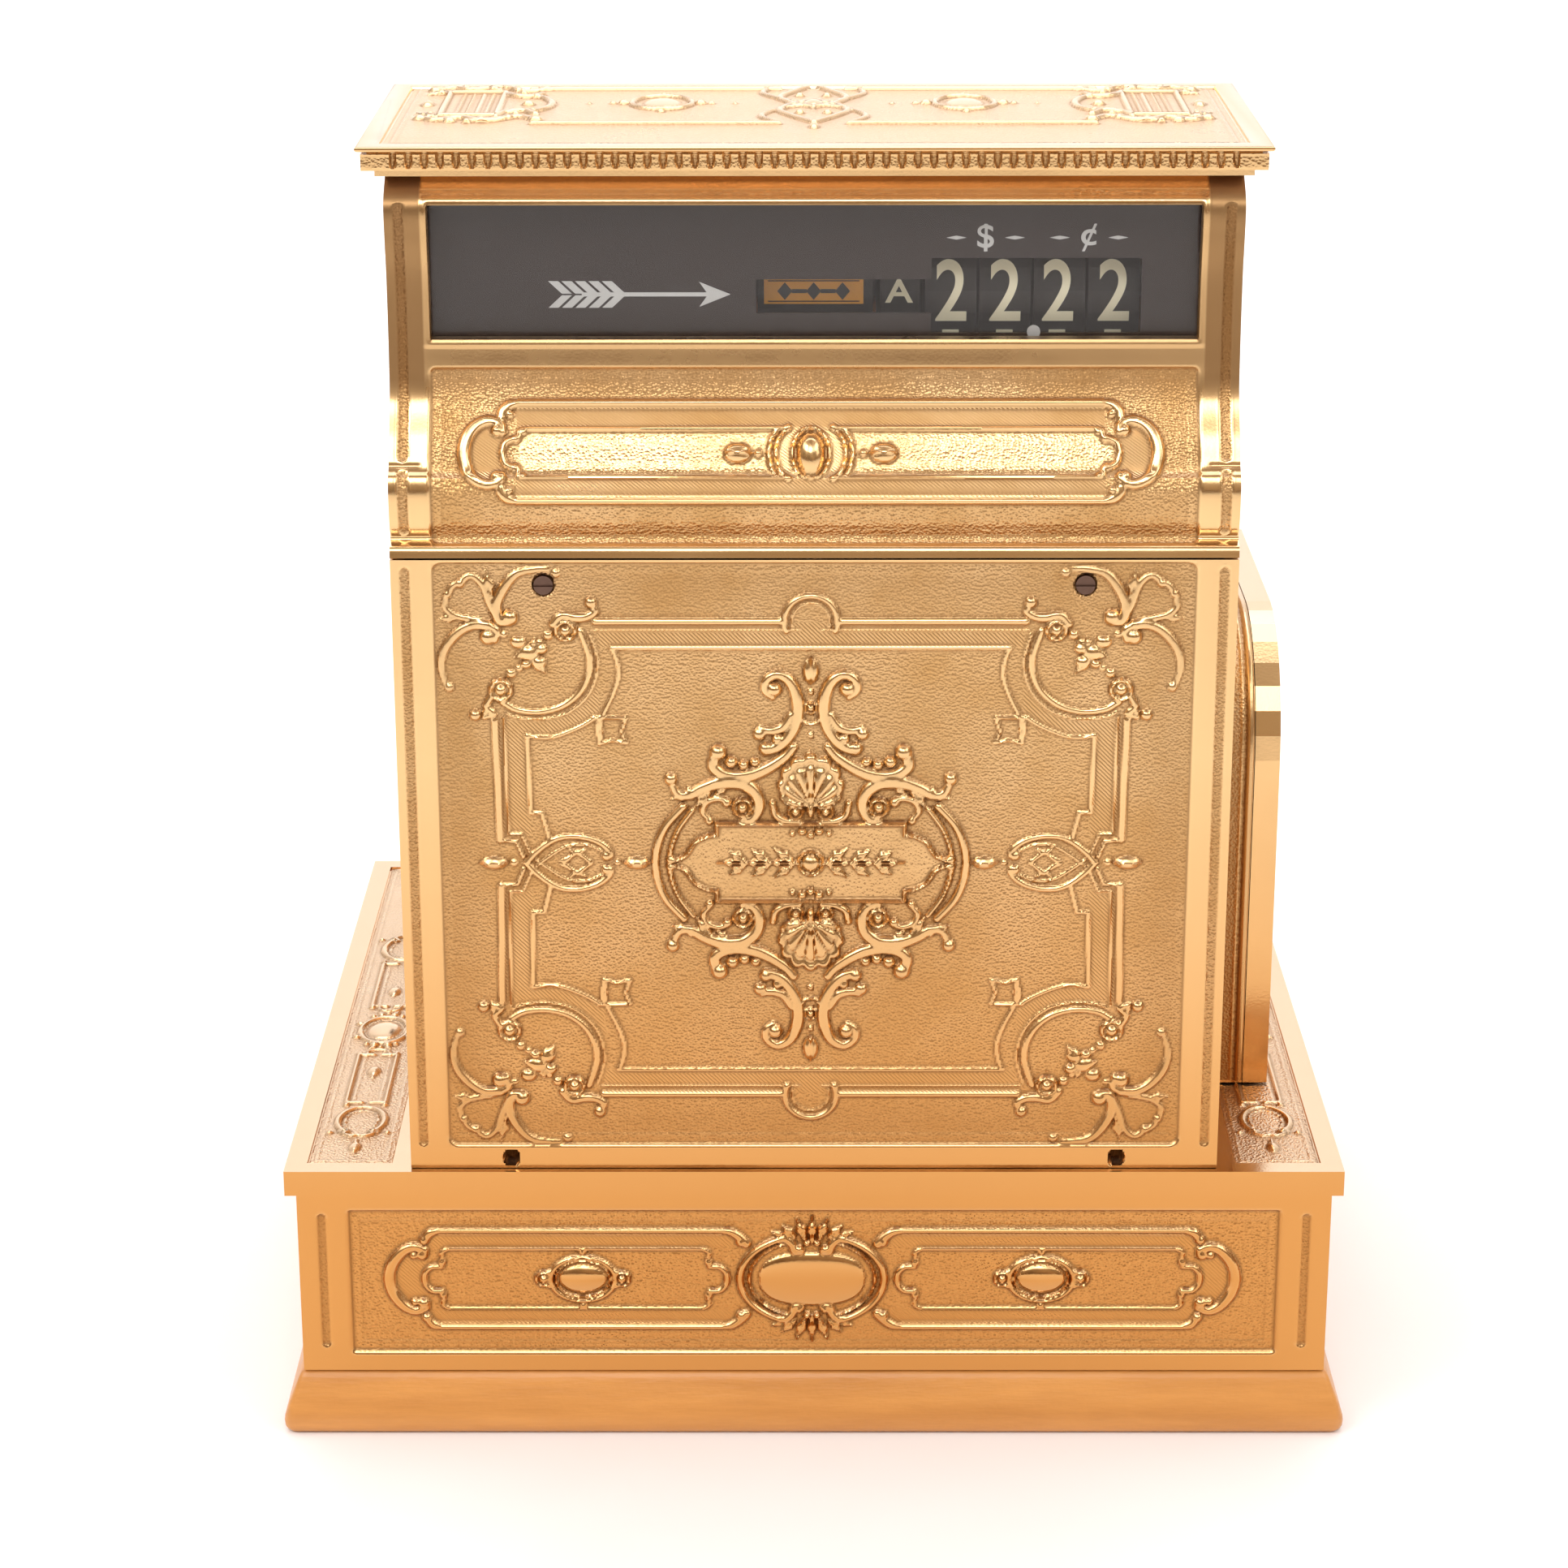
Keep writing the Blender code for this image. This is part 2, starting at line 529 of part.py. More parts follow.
# ---- mechanism ---------------------------------------------------------------------------------
def inner_frames():
    """Flat machine frames that carry the shafts."""
    outline = [(40, LID_Z[1] + GAP), (40, 420), (84, 570), (130, 570), (165, 500), (350, 275),
               (380, 230), (380, LID_Z[1] + GAP)]
    for name, low, crank in (("frame_left", -177, True), ("frame_right", 173, False)):
        holes = [rod("X", *DRUM_AXIS, DRUM_BORE, low - 1, low + 5),
                 rod("X", *MAIN_AXIS, 5.15, low - 1, low + 5),
                 prism("X", [(110, 180), (215, 180), (215, 320), (160, 420), (110, 420)], low - 1, low + 5)]
        if crank:
            holes.append(rod("X", *CRANK_AXIS, 6.2, low - 1, low + 5))
        piece(name, prism("X", outline, low, low + 4), "cast_iron", cuts=holes)


def shafts():
    """Main shaft and crank shaft with their meshed gears."""
    gear = prism("X", gear_outline(MAIN_AXIS, GEAR_TEETH, 0.0), -168, -160)
    piece("main_shaft", rod("X", *MAIN_AXIS, 5.0, -180, 180), "steel", joins=[gear],
          origin=(0, *MAIN_AXIS))
    half_tooth = math.pi / PINION_TEETH
    pinion = prism("X", gear_outline(CRANK_AXIS, PINION_TEETH, math.pi + half_tooth), -168, -160)
    piece("crank_shaft", rod("X", *CRANK_AXIS, 6.0, -203.5, -158), "steel", joins=[pinion],
          origin=(-190, *CRANK_AXIS))


def crank():
    """Crank arm with forked ears at its end, and a grip that folds flat beside it."""
    y, z = CRANK_AXIS
    end = y + CRANK_REACH
    arm = prism("X", [(y, z - 9), (end, z - 6), (end + 6, z - 3), (end + 6, z + 3), (end, z + 6),
                      (y, z + 9)], -201.8, -196)
    ears = [block((-215.5, -198), (end - 5.5, end + 5.5), (z + low, z + low + 3.5)) for low in (-8.8, 5.3)]
    piece("crank_arm", rod("X", y, z, 13, -202.3, -195), "steel", joins=[arm, *ears],
          cuts=[rod("X", y, z, 6.1, -210, -190)])
    pivot = (-210.0, end)
    grip = turned("Y", pivot[0], z, [(0, end - 82), (5, end - 82), (7.2, end - 78), (7.6, end - 60),
                                     (6.2, end - 34), (7.2, end - 14), (5.5, end - 9), (0, end - 9)], 24)
    neck = block((pivot[0] - 4, pivot[0] + 4), (end - 12, end), (z - 4, z + 4))
    barrel = rod("Z", *pivot, 4.8, z - 5, z + 5, 20)
    piece("crank_grip", grip, "handle_wood", joins=[neck, barrel], origin=(pivot[0], pivot[1], z))


def bell_and_hammer():
    """Gong bell on a post with a bracket, and the hammer that hangs from it and strikes the rim."""
    x, y, foot = -110.0, 330.0, LID_Z[1] + GAP
    steps = 5
    inner = [math.pi / 2 * k / steps for k in range(1, steps + 1)]
    profile = [(0, foot), (9, foot), (9, foot + 3), (3, foot + 3), (3, foot + 27)]
    profile += [(24 * math.sin(t), foot + 9 + 18 * math.cos(t)) for t in inner]
    profile += [(26 * math.sin(t), foot + 9 + 20.5 * math.cos(t)) for t in reversed(inner)]
    profile += [(0, foot + 31)]
    pivot = (297.0, 192.0)
    bracket = [block((x - 9, x + 9), (291, y), (foot, foot + 3)),
               block((x - 9, x - 5), (292, 302), (foot, pivot[1] + 5)),
               rod("X", *pivot, 2.0, x - 6, x + 6, 12)]
    piece("bell", turned("Z", x, y, profile, 20), "brass", joins=bracket)
    arm = block((x - 1.5, x + 1.5), (pivot[0] - 1.5, pivot[0] + 1.5), (150, pivot[1] - 2))
    tip = turned("Y", x, 149, [(0, 293), (3.5, 293), (4.5, 295), (4.5, 300), (0, 302)], 12)
    piece("bell_hammer", rod("X", *pivot, 5.0, x - 4, x + 5, 16), "steel", joins=[arm, tip],
          cuts=[rod("X", *pivot, 2.1, x - 6, x + 7, 12)], origin=(x, *pivot))


# ---- printer -----------------------------------------------------------------------------------
def box_outline(inset):
    """Outline of the printer box in the (y, z) plane, with a rounded upper corner."""
    low_y, high_y = BOX_Y[0] + inset, BOX_Y[1] - inset
    low_z, high_z = LID_Z[1] + GAP + inset, BOX_TOP - inset
    radius = BOX_ROUND - inset
    corner = [(low_y + radius - radius * math.cos(t), high_z - radius + radius * math.sin(t))
              for t in (math.pi / 2 * k / 8 for k in range(9))]
    return [(low_y, low_z), *corner, (high_y, high_z), (high_y, low_z)]


def printer():
    """Housing open towards its door, hinged door, pin, lock, paper roll and platen roller."""
    inner = prism("X", box_outline(4), BOX_X[0] + 3, BOX_X[1] + 1)
    posts = [rod("X", *PAPER_AXIS, 4.7, BOX_X[0] + 2, BOX_X[1] - 1, 24),
             rod("X", *PLATEN_AXIS, 2.7, BOX_X[0] + 2, BOX_X[1] - 1, 24)]
    lugs = []
    for low in (158, 322):
        lugs.append(block((208, BOX_X[1]), (296, HINGE[1] + 2.8), (low, low + 18)))
        lugs.append(block((BOX_X[1] - 0.5, HINGE[0]), (BOX_Y[1] + 0.4, HINGE[1] + 2.8), (low, low + 18)))
        lugs.append(rod("Z", *HINGE, 3.4, low, low + 18, 16))
    made = piece("printer_housing", prism("X", box_outline(0), *BOX_X), "brass", cuts=[inner])
    for shape in [*posts, *lugs]:
        combine(made, shape, "UNION")
    combine(made, rod("Z", *HINGE, PIN_HOLE_R, 150, 350, 12), "DIFFERENCE")

    knuckle = rod("Z", *HINGE, 3.4, 200, 300, 16)
    web = block((HINGE[0] - 3, HINGE[0] + 3), (BOX_Y[1] - 2, HINGE[1]), (200, 300))
    cuts = [prism("X", box_outline(12), DOOR_X[1] - 1.6, DOOR_X[1] + 1),
            prism("X", box_outline(5), DOOR_X[0] - 1, DOOR_X[0] + 7),
            rod("Z", *HINGE, PIN_HOLE_R, 190, 310, 12), rod("X", *LOCK, 6.3, 200, 230, 24)]
    piece("printer_door", prism("X", box_outline(0), *DOOR_X), "brass", joins=[knuckle, web], cuts=cuts,
          origin=(*HINGE, 250))
    piece("printer_hinge_pin", rod("Z", *HINGE, 1.5, 156, 342, 12), "steel")
    lock = [(0, DOOR_X[0] + 1), (6, DOOR_X[0] + 1), (6, DOOR_X[1] - 0.6), (0, DOOR_X[1] - 0.6)]
    piece("printer_lock", turned("X", *LOCK, lock, 24), "steel",
          cuts=[block((DOOR_X[1] - 2.6, DOOR_X[1] + 1), (LOCK[0] - 4, LOCK[0] + 4), (LOCK[1] - 0.6, LOCK[1] + 0.6))],
          origin=(DOOR_X[1], *LOCK))
    ring = [(5, BOX_X[0] + 5), (32, BOX_X[0] + 5), (32, BOX_X[1] - 2), (5, BOX_X[1] - 2)]
    piece("paper_roll", turned("X", *PAPER_AXIS, ring, 32), "paper", origin=(200, *PAPER_AXIS))
    ring = [(3, BOX_X[0] + 5), (11, BOX_X[0] + 5), (11, BOX_X[1] - 2), (3, BOX_X[1] - 2)]
    piece("platen_roller", turned("X", *PLATEN_AXIS, ring, 24), "rubber", origin=(200, *PLATEN_AXIS))


for leftover in list(bpy.data.objects):
    bpy.data.objects.remove(leftover)

MATERIALS = {
    "brass": make_material("brass", (0.80, 0.50, 0.20), 0.25, 1.0),
    "wood": make_material("wood", (0.42, 0.16, 0.06), 0.35),
    "drawer_wood": make_material("drawer_wood", (0.46, 0.26, 0.12), 0.5),
    "handle_wood": make_material("handle_wood", (0.10, 0.04, 0.02), 0.3),
    "steel": make_material("steel", (0.45, 0.44, 0.42), 0.35, 1.0),
    "cast_iron": make_material("cast_iron", (0.10, 0.10, 0.10), 0.6, 0.6),
    "glass": make_material("glass", (0.9, 0.95, 0.95), 0.02, 0.0, 0.2),
    "mask": make_material("mask", (0.045, 0.038, 0.035), 0.35),
    "wheel_black": make_material("wheel_black", (0.02, 0.018, 0.016), 0.4),
    "wheel_amber": make_material("wheel_amber", (0.55, 0.27, 0.06), 0.45),
    "key_top": make_material("key_top", (0.85, 0.80, 0.68), 0.3),
    "key_red": make_material("key_red", (0.5, 0.05, 0.04), 0.3),
    "paper": make_material("paper", (0.90, 0.88, 0.82), 0.8),
    "rubber": make_material("rubber", (0.03, 0.03, 0.03), 0.7),
}

base_board()
drawer_rollers()
case_walls()
case_rear_panel()
case_lid()
drawer()
bill_clips()
drawer_spring()
drawer_latch()
cabinet_sides()
back_cover()
cover_screws()
upper_rear_casting()
top_cover()
windows()
keyboard()
key_banks()
single_keys()
indicator()
inner_frames()
shafts()
crank()
bell_and_hammer()
printer()
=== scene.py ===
"""Looks of the brass cash register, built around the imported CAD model.

Relief panels are height maps: ornaments are drawn as strokes and beads in millimetres, each
one lifting the ground, and the map is then wrapped onto the panel it decorates.
"""
import json
import math

import bmesh
import bpy
import numpy as np
from mathutils import Matrix, Vector


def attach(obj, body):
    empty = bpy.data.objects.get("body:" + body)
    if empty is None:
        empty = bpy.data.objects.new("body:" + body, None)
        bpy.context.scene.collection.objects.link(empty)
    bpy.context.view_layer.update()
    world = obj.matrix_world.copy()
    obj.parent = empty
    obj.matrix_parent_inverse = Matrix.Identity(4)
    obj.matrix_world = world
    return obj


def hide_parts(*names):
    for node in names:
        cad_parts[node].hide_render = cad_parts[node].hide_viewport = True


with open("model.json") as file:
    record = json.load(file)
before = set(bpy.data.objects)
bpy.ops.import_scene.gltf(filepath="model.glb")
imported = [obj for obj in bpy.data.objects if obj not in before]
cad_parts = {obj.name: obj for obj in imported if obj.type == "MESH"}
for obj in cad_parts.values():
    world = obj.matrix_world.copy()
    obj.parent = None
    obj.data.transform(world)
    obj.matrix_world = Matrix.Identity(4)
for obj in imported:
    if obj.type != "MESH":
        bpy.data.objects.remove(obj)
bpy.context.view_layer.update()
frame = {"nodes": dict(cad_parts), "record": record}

MM = 0.001
MID_Y = 212.0                  # the frame's origin, measured from the customer's face of the lid
PANEL_X = 172.0                # half-width of the recess in the large cover and the upper casting
PANEL_Z = (148.0, 433.0)       # foot and head of the large cover's recess
FOLD_Z = 289.5                 # mid-height of the large cover's ornament
COVER_FOOT = 136.6             # lower edge of the large cover
COVER_Y = 6.0                  # the cover's sunk ground
CASE_Y = 5.5                   # the drawer case's sunk ground
CAST_THICKNESS = 6.0
CABINET_X = 190.0              # half-width of the cabinet
CAST_LIFT = 1.25               # how much prouder the customer's side is cast than it is drawn
FRAME_LIFT = 2.0               # height of the polished frames above their sunk grounds
GROUND_LIFT = 0.2              # height of a laid panel's ground above the face it lies on
ROUND = 2 * math.pi


def linked(name, data):
    """A new object in the scene."""
    made = bpy.data.objects.new(name, data)
    bpy.context.scene.collection.objects.link(made)
    return made


# ---- height maps -------------------------------------------------------------------------------
def spaced(low, high, step):
    """Evenly spaced values from low to high, no further apart than step."""
    return np.linspace(low, high, max(2, int(math.ceil((high - low) / step)) + 1))


def smooth(t):
    """Smooth step of t from 0 to 1."""
    t = np.clip(t, 0.0, 1.0)
    return t * t * (3 - 2 * t)


def dome(q, power=0.6):
    """Rounded section: 1 where q is 0, falling to 0 where q reaches 1 either way."""
    return np.clip(1 - q * q, 0, 1) ** power


def arc(radius_x, radius_z, start, stop, count, x=0.0, z=0.0):
    """Points of an arc of an ellipse, between two angles in radians."""
    return [(x + radius_x * math.cos(t), z + radius_z * math.sin(t)) for t in np.linspace(start, stop,
                                                                                          count)]


def lengths(points):
    """Length along a path at each of its points, and the path's direction there."""
    along = np.concatenate([[0], np.cumsum(np.hypot(*np.diff(points, axis=0).T))])
    tangent = np.gradient(points, along, axis=0)
    return along, tangent / np.linalg.norm(tangent, axis=1)[:, None]


def through(points, step=1.0):
    """Points of a smooth curve through the given points, about step apart."""
    p = np.array(points, float)
    if len(p) < 3:
        count = max(2, int(np.linalg.norm(p[-1] - p[0]) / step) + 1)
        return p[0] + (p[-1] - p[0]) * np.linspace(0, 1, count)[:, None]
    ends = np.vstack([2 * p[0] - p[1], p, 2 * p[-1] - p[-2]])
    out = []
    for a, b, c, d in zip(ends, ends[1:], ends[2:], ends[3:]):
        count = max(2, int(np.linalg.norm(c - b) / step) + 1)
        t = np.linspace(0, 1, count, endpoint=False)[:, None]
        out.append(0.5 * (2 * b + (c - a) * t + (2 * a - 5 * b + 4 * c - d) * t ** 2
                          + (3 * b - a - 3 * c + d) * t ** 3))
    out.append(p[-1:])
    return np.vstack(out)


class Relief:
    """A height map in millimetres over a grid, with masks from 0 to 1 that the brass reads.

    hatch marks combed ground, dark marks dirt, patina and painted shade, shine and matt add polish and take
    it.
    """
    MASKS = ("hatch", "dark", "shine", "matt")

    def __init__(self, xs, zs):
        self.xs, self.zs = np.array(xs, float), np.array(zs, float)
        for name in ("h", *self.MASKS):
            setattr(self, name, np.zeros((len(self.zs), len(self.xs))))

    def grid(self):
        """Coordinates of every point of the map."""
        return np.meshgrid(self.xs, self.zs)

    def window(self, x, z, reach_x, reach_z):
        """Slices and coordinates of the grid around a point."""
        i0, i1 = np.searchsorted(self.xs, (x - reach_x, x + reach_x))
        j0, j1 = np.searchsorted(self.zs, (z - reach_z, z + reach_z))
        where = (slice(j0, j1), slice(i0, i1))
        gx, gz = np.meshgrid(self.xs[i0:i1], self.zs[j0:j1])
        return where, gx, gz

    def raise_to(self, where, height):
        """Lifts part of the map to a height, where that is higher."""
        self.h[where] = np.maximum(self.h[where], height)

    def ridge(self, distance, at, half_width, lift, power=0.6):
        """A rounded line wherever a distance field passes a value."""
        self.raise_to(..., lift * dome((distance - at) / half_width, power))

    def stroke(self, points, wide, lift, groove=0.0, sharp=False):
        """A ridge along a path; wide and lift are one value or (start, middle, end)."""
        path = np.array(points, float) if sharp else through(points)
        if sharp:
            path = np.vstack([through(path[i:i + 2]) for i in range(len(path) - 1)])
        along = np.linspace(0, 1, len(path))
        radii = np.interp(along, (0, 0.5, 1), np.broadcast_to(wide, 3))
        lifts = np.interp(along, (0, 0.5, 1), np.broadcast_to(lift, 3))
        for k in range(len(path) - 1):
            (ax, az), (bx, bz) = path[k], path[k + 1]
            radius = max(radii[k], radii[k + 1])
            where, gx, gz = self.window((ax + bx) / 2, (az + bz) / 2, abs(bx - ax) / 2 + radius,
                                        abs(bz - az) / 2 + radius)
            if gx.size == 0:
                continue
            length = max((bx - ax) ** 2 + (bz - az) ** 2, 1e-9)
            t = np.clip(((gx - ax) * (bx - ax) + (gz - az) * (bz - az)) / length, 0, 1)
            q = np.hypot(gx - ax - t * (bx - ax), gz - az - t * (bz - az)) / radius
            body = dome(q, 0.8)
            body -= groove * np.exp(-(q / 0.3) ** 2) * (q < 1)
            self.raise_to(where, (lifts[k] + (lifts[k + 1] - lifts[k]) * t) * body)

    def rail(self, points, wide, lift):
        """A narrow moulding along straight runs."""
        self.stroke(points, wide, lift, sharp=True)

    def rails(self, *runs):
        """Several rails, each given as (width, lift, points)."""
        for wide, lift, points in runs:
            self.rail(points, wide, lift)

    def strokes(self, groove, *runs):
        """Several strokes with the same groove, each given as (width, lift, points)."""
        for wide, lift, points in runs:
            self.stroke(points, wide, lift, groove)

    def bead(self, x, z, radius, lift, tall=None):
        """A dome; tall gives it a different half-height."""
        tall = tall or radius
        where, gx, gz = self.window(x, z, radius, tall)
        self.raise_to(where, lift * dome(np.hypot((gx - x) / radius, (gz - z) / tall)))

    def beads(self, *places):
        """Several beads, each given as bead takes it."""
        for place in places:
            self.bead(*place)

    def spiral(self, x, z, radius, lift):
        """A volute's eye: a domed bead inside a ring."""
        where, gx, gz = self.window(x, z, radius, radius)
        q = np.hypot(gx - x, gz - z) / radius
        ring, eye = dome((q - 0.8) / 0.2), dome(q / 0.52)
        self.raise_to(where, lift * np.maximum(0.35 * (q < 1), np.maximum(0.8 * ring, 1.1 * eye)))

    def leaf(self, x0, z0, x1, z1, wide, lift, lobes=3):
        """A leaf from its root to its tip, with a vein and lobes along its sides."""
        dx, dz = x1 - x0, z1 - z0
        length = math.hypot(dx, dz)
        reach = length + wide
        where, gx, gz = self.window((x0 + x1) / 2, (z0 + z1) / 2, reach, reach)
        t = ((gx - x0) * dx + (gz - z0) * dz) / length ** 2
        s = ((gx - x0) * -dz + (gz - z0) * dx) / length
        wave = ROUND * lobes
        outline = wide * np.sin(np.pi * np.clip(t, 0, 1) ** 0.7) * (0.8 + 0.2 * np.cos(wave * t))
        q = np.abs(s) / np.maximum(outline, 1e-3)
        body = dome(q) * (1 - 0.35 * np.exp(-(s / (0.18 * wide)) ** 2))
        body = body * (0.85 + 0.15 * np.cos(wave * (t - 0.5 * q)))
        self.raise_to(where, lift * body * ((t > 0) & (t < 1)))

    def leaves(self, *places):
        """Several leaves, each given as leaf takes it."""
        for place in places:
            self.leaf(*place)

    def shell(self, x, z, radius_x, radius_z, lift, flutes=9, sign=1):
        """A scallop shell fanning out from a point, with rounded flutes and a curled rim."""
        where, gx, gz = self.window(x, z, radius_x * 1.3, radius_z * 1.2)
        dx, dz = (gx - x) * radius_z / radius_x * 0.86, sign * (gz - z)
        q = np.hypot(dx, dz) / radius_z
        angle = np.arctan2(dz, np.abs(dx))
        spread = np.sin(np.clip((angle + 0.2) * 0.885, 0, math.pi / 2)) ** 0.42
        wave = np.abs(np.cos((math.pi / 2 - angle) * flutes))
        rim = spread * (0.92 + 0.08 * wave)
        u = np.clip(q / np.maximum(rim, 0.02), 0, 2)
        bowl = 0.5 + 0.5 * np.sin(math.pi * np.clip(u, 0, 1) ** 0.8)
        curl = 0.35 * smooth((u - 0.78) / 0.1) - 0.2 * (u > 0.72)
        self.raise_to(where, lift * (bowl + curl) * smooth((1 - u) / 0.1) * (0.62 + 0.38 * wave ** 0.8))

    def mirrored(self, *axes):
        """The map joined to its mirror image about its first column (axis 1) or first row (axis 0)."""
        made = self
        for axis in axes:
            half = made
            xs = np.concatenate([-half.xs[:0:-1], half.xs]) if axis == 1 else half.xs
            zs = np.concatenate([-half.zs[:0:-1], half.zs]) if axis == 0 else half.zs
            made = Relief(xs, zs)
            for name in ("h", *self.MASKS):
                field = getattr(half, name)
                image = np.flip(field, axis)
                image = image[:, :-1] if axis == 1 else image[:-1]
                setattr(made, name, np.concatenate([image, field], axis))
        return made

    def part(self, rows, columns):
        """The piece of the map in a slice of rows and a slice of columns."""
        made = Relief(self.xs[columns], self.zs[rows])
        for name in ("h", *self.MASKS):
            setattr(made, name, getattr(self, name)[rows, columns])
        return made

    def bordered(self, low, high, rail_x, shift, step=0.9):
        """The cast map set in plain rows below and above and plain stiles out to rail_x.

        shift moves the ornament sideways by a number of columns, as the casting has it.
        """
        rails = spaced(self.xs[-1], rail_x, step)[1:]
        made = Relief(np.concatenate([-rails[::-1], self.xs, rails]), np.concatenate([low, self.zs, high]))
        inner = (slice(len(low), len(low) + len(self.zs)), slice(len(rails), len(rails) + len(self.xs)))
        made.h[inner] = np.roll(self.h * CAST_LIFT, shift, 1)
        made.hatch[inner] = np.roll(self.hatch, shift, 1)
        return made

    def hollow_dirt_and_shade(self):
        """Dirt in hollows and painted shade, where the surface lies below its surroundings, 0 to 1."""
        blurred = self.h.copy()
        for _ in range(3):
            wide = np.pad(blurred, 1, mode="edge")
            blurred = (wide[1:-1, 1:-1] + wide[:-2, 1:-1] + wide[2:, 1:-1] + wide[1:-1, :-2] + wide[1:-1,
                                                                                                    2:]) / 5
        return np.clip((blurred - self.h) * 2.4, 0, 1)

    def polish(self):
        """How far rubbing has brightened the surface: high spots and framed parts, and a painted highlight
        over the upper cartouche, 0 to 1.
        """
        return np.clip(np.maximum(smooth(self.h / 1.1), self.shine) - self.matt, 0, 1)

    def colours(self):
        """What the brass reads at each point: polish, hatching, and dirt, patina and painted shade."""
        return self.polish(), self.hatch, np.maximum(self.dark, 0.6 * self.hollow_dirt_and_shade())


def back_faces(keep, rear_index):
    """Faces that close a map's back: one for every unbroken run of cells in every row."""
    faces = []
    for j, row in enumerate(keep):
        ends = np.flatnonzero(np.diff(np.concatenate([[0], row.astype(int), [0]])))
        for start, stop in zip(ends[::2], ends[1::2]):
            low = rear_index[j, start:stop + 1]
            high = rear_index[j + 1, start:stop + 1][::-1]
            ring = np.concatenate([low, high])
            faces.append(ring[ring >= 0].tolist())
    return faces


def relief_mesh(name, relief, place, keep=None, back=None):
    """A closed mesh: the relief's front, and a plain back joined to it around every border.

    place(x, z, h) gives points in metres for arrays of grid coordinates and heights; keep marks
    the cells that exist; back(x, z) gives the points of the back.
    """
    gx, gz = relief.grid()
    rows, cols = gx.shape
    front = place(gx.ravel(), gz.ravel(), relief.h.ravel())
    rear = back(gx.ravel(), gz.ravel())
    keep = np.ones((rows - 1, cols - 1), bool) if keep is None else keep
    index = np.arange(rows * cols).reshape(rows, cols)
    a, b = index[:-1, :-1][keep], index[:-1, 1:][keep]
    c, d = index[1:, 1:][keep], index[1:, :-1][keep]
    quads = np.stack([a, b, c, d], 1)
    edges = np.concatenate([quads[:, [0, 1]], quads[:, [1, 2]], quads[:, [2, 3]], quads[:, [3, 0]]])
    code = edges.min(1).astype(np.int64) * (rows * cols) + edges.max(1)
    _, first, counts = np.unique(code, return_index=True, return_counts=True)
    border = edges[first[counts == 1]]
    rim = np.unique(border)
    rear_index = -np.ones(rows * cols, int)
    used = np.unique(quads)
    front_index = -np.ones(rows * cols, int)
    front_index[used] = np.arange(len(used))
    rear_index[rim] = len(used) + np.arange(len(rim))
    vertices = np.vstack([front[used], rear[rim]])
    walls = np.stack([front_index[border[:, 1]], front_index[border[:, 0]],
                      rear_index[border[:, 0]], rear_index[border[:, 1]]], 1)
    faces = front_index[quads].tolist() + walls.tolist() + back_faces(keep, rear_index.reshape(rows, cols))
    mesh = bpy.data.meshes.new(name)
    mesh.from_pydata(vertices.tolist(), [], faces)
    values = np.zeros((len(vertices), 4), np.float32)
    values[:, 3] = 1
    for channel, field in enumerate(relief.colours()):
        values[:len(used), channel] = field.ravel()[used]
    layer = mesh.color_attributes.new("relief", "FLOAT_COLOR", "POINT")
    layer.data.foreach_set("color", values.ravel())
    made = linked(name, mesh)
    bm = bmesh.new()
    bm.from_mesh(mesh)
    bmesh.ops.triangulate(bm, faces=[f for f in bm.faces if len(f.verts) > 4])
    for edge in bm.edges:
        if len(edge.link_faces) == 2 and edge.calc_face_angle(0) > math.radians(60):
            edge.smooth = False
    bmesh.ops.recalc_face_normals(bm, faces=bm.faces)
    bm.to_mesh(mesh)
    bm.free()
    for polygon in mesh.polygons:
        polygon.use_smooth = True
    return made


# ---- materials ---------------------------------------------------------------------------------
class Nodes:
    """The nodes of a new material or world, with short ways to add those used here."""

    def __init__(self, owner, space="Object"):
        owner.use_nodes = True
        self.owner, self.tree = owner, owner.node_tree
        self.position = self.add("ShaderNodeTexCoord").outputs[space]

    def put(self, socket, value):
        """Sets a socket to a value, or links it to another socket."""
        if hasattr(value, "is_linked"):
            self.tree.links.new(value, socket)
        else:
            socket.default_value = value

    def add(self, kind, **inputs):
        """A node; each keyword is one of its sockets or settings, with _ for a space."""
        node = self.tree.nodes.new(kind)
        for key, value in inputs.items():
            socket = key.replace("_", " ")
            if socket in node.inputs:
                self.put(node.inputs[socket], value)
            else:
                setattr(node, key, value)
        return node

    def shade(self, **inputs):
        """Sets or links sockets of the shader, with _ for a space."""
        for key, value in inputs.items():
            self.put(self.tree.nodes["Principled BSDF"].inputs[key.replace("_", " ")], value)

    def mixed(self, factor, one, two):
        """Mix of two colours."""
        node = self.add("ShaderNodeMix", data_type="RGBA")
        for index, value in ((0, factor), (6, one), (7, two)):
            self.put(node.inputs[index], value)
        return node.outputs[2]

    def maths(self, operation, *values):
        """A sum, product or the like of numbers and sockets."""
        node = self.add("ShaderNodeMath", operation=operation)
        for socket, value in zip(node.inputs, values):
            self.put(socket, value)
        return node.outputs[0]

    def ranged(self, value, low, high, start=0.0, stop=1.0):
        """A socket's start to stop remapped to low to high."""
        return self.add("ShaderNodeMapRange", Value=value, From_Min=start, From_Max=stop,
                        To_Min=low, To_Max=high).outputs[0]

    def noise(self, scale, detail=3.0, rough=0.5, position=None):
        """Noise in the owner's space; scale is in features per unit."""
        return self.add("ShaderNodeTexNoise", Vector=position or self.position, Scale=scale, Detail=detail,
                        Roughness=rough).outputs[0]

    def bump(self, distance, strength, height, below=None):
        """A bump, laid over another one where below is given."""
        over = {"Normal": below} if below else {}
        return self.add("ShaderNodeBump", Distance=distance, Strength=strength, Height=height,
                        **over).outputs[0]


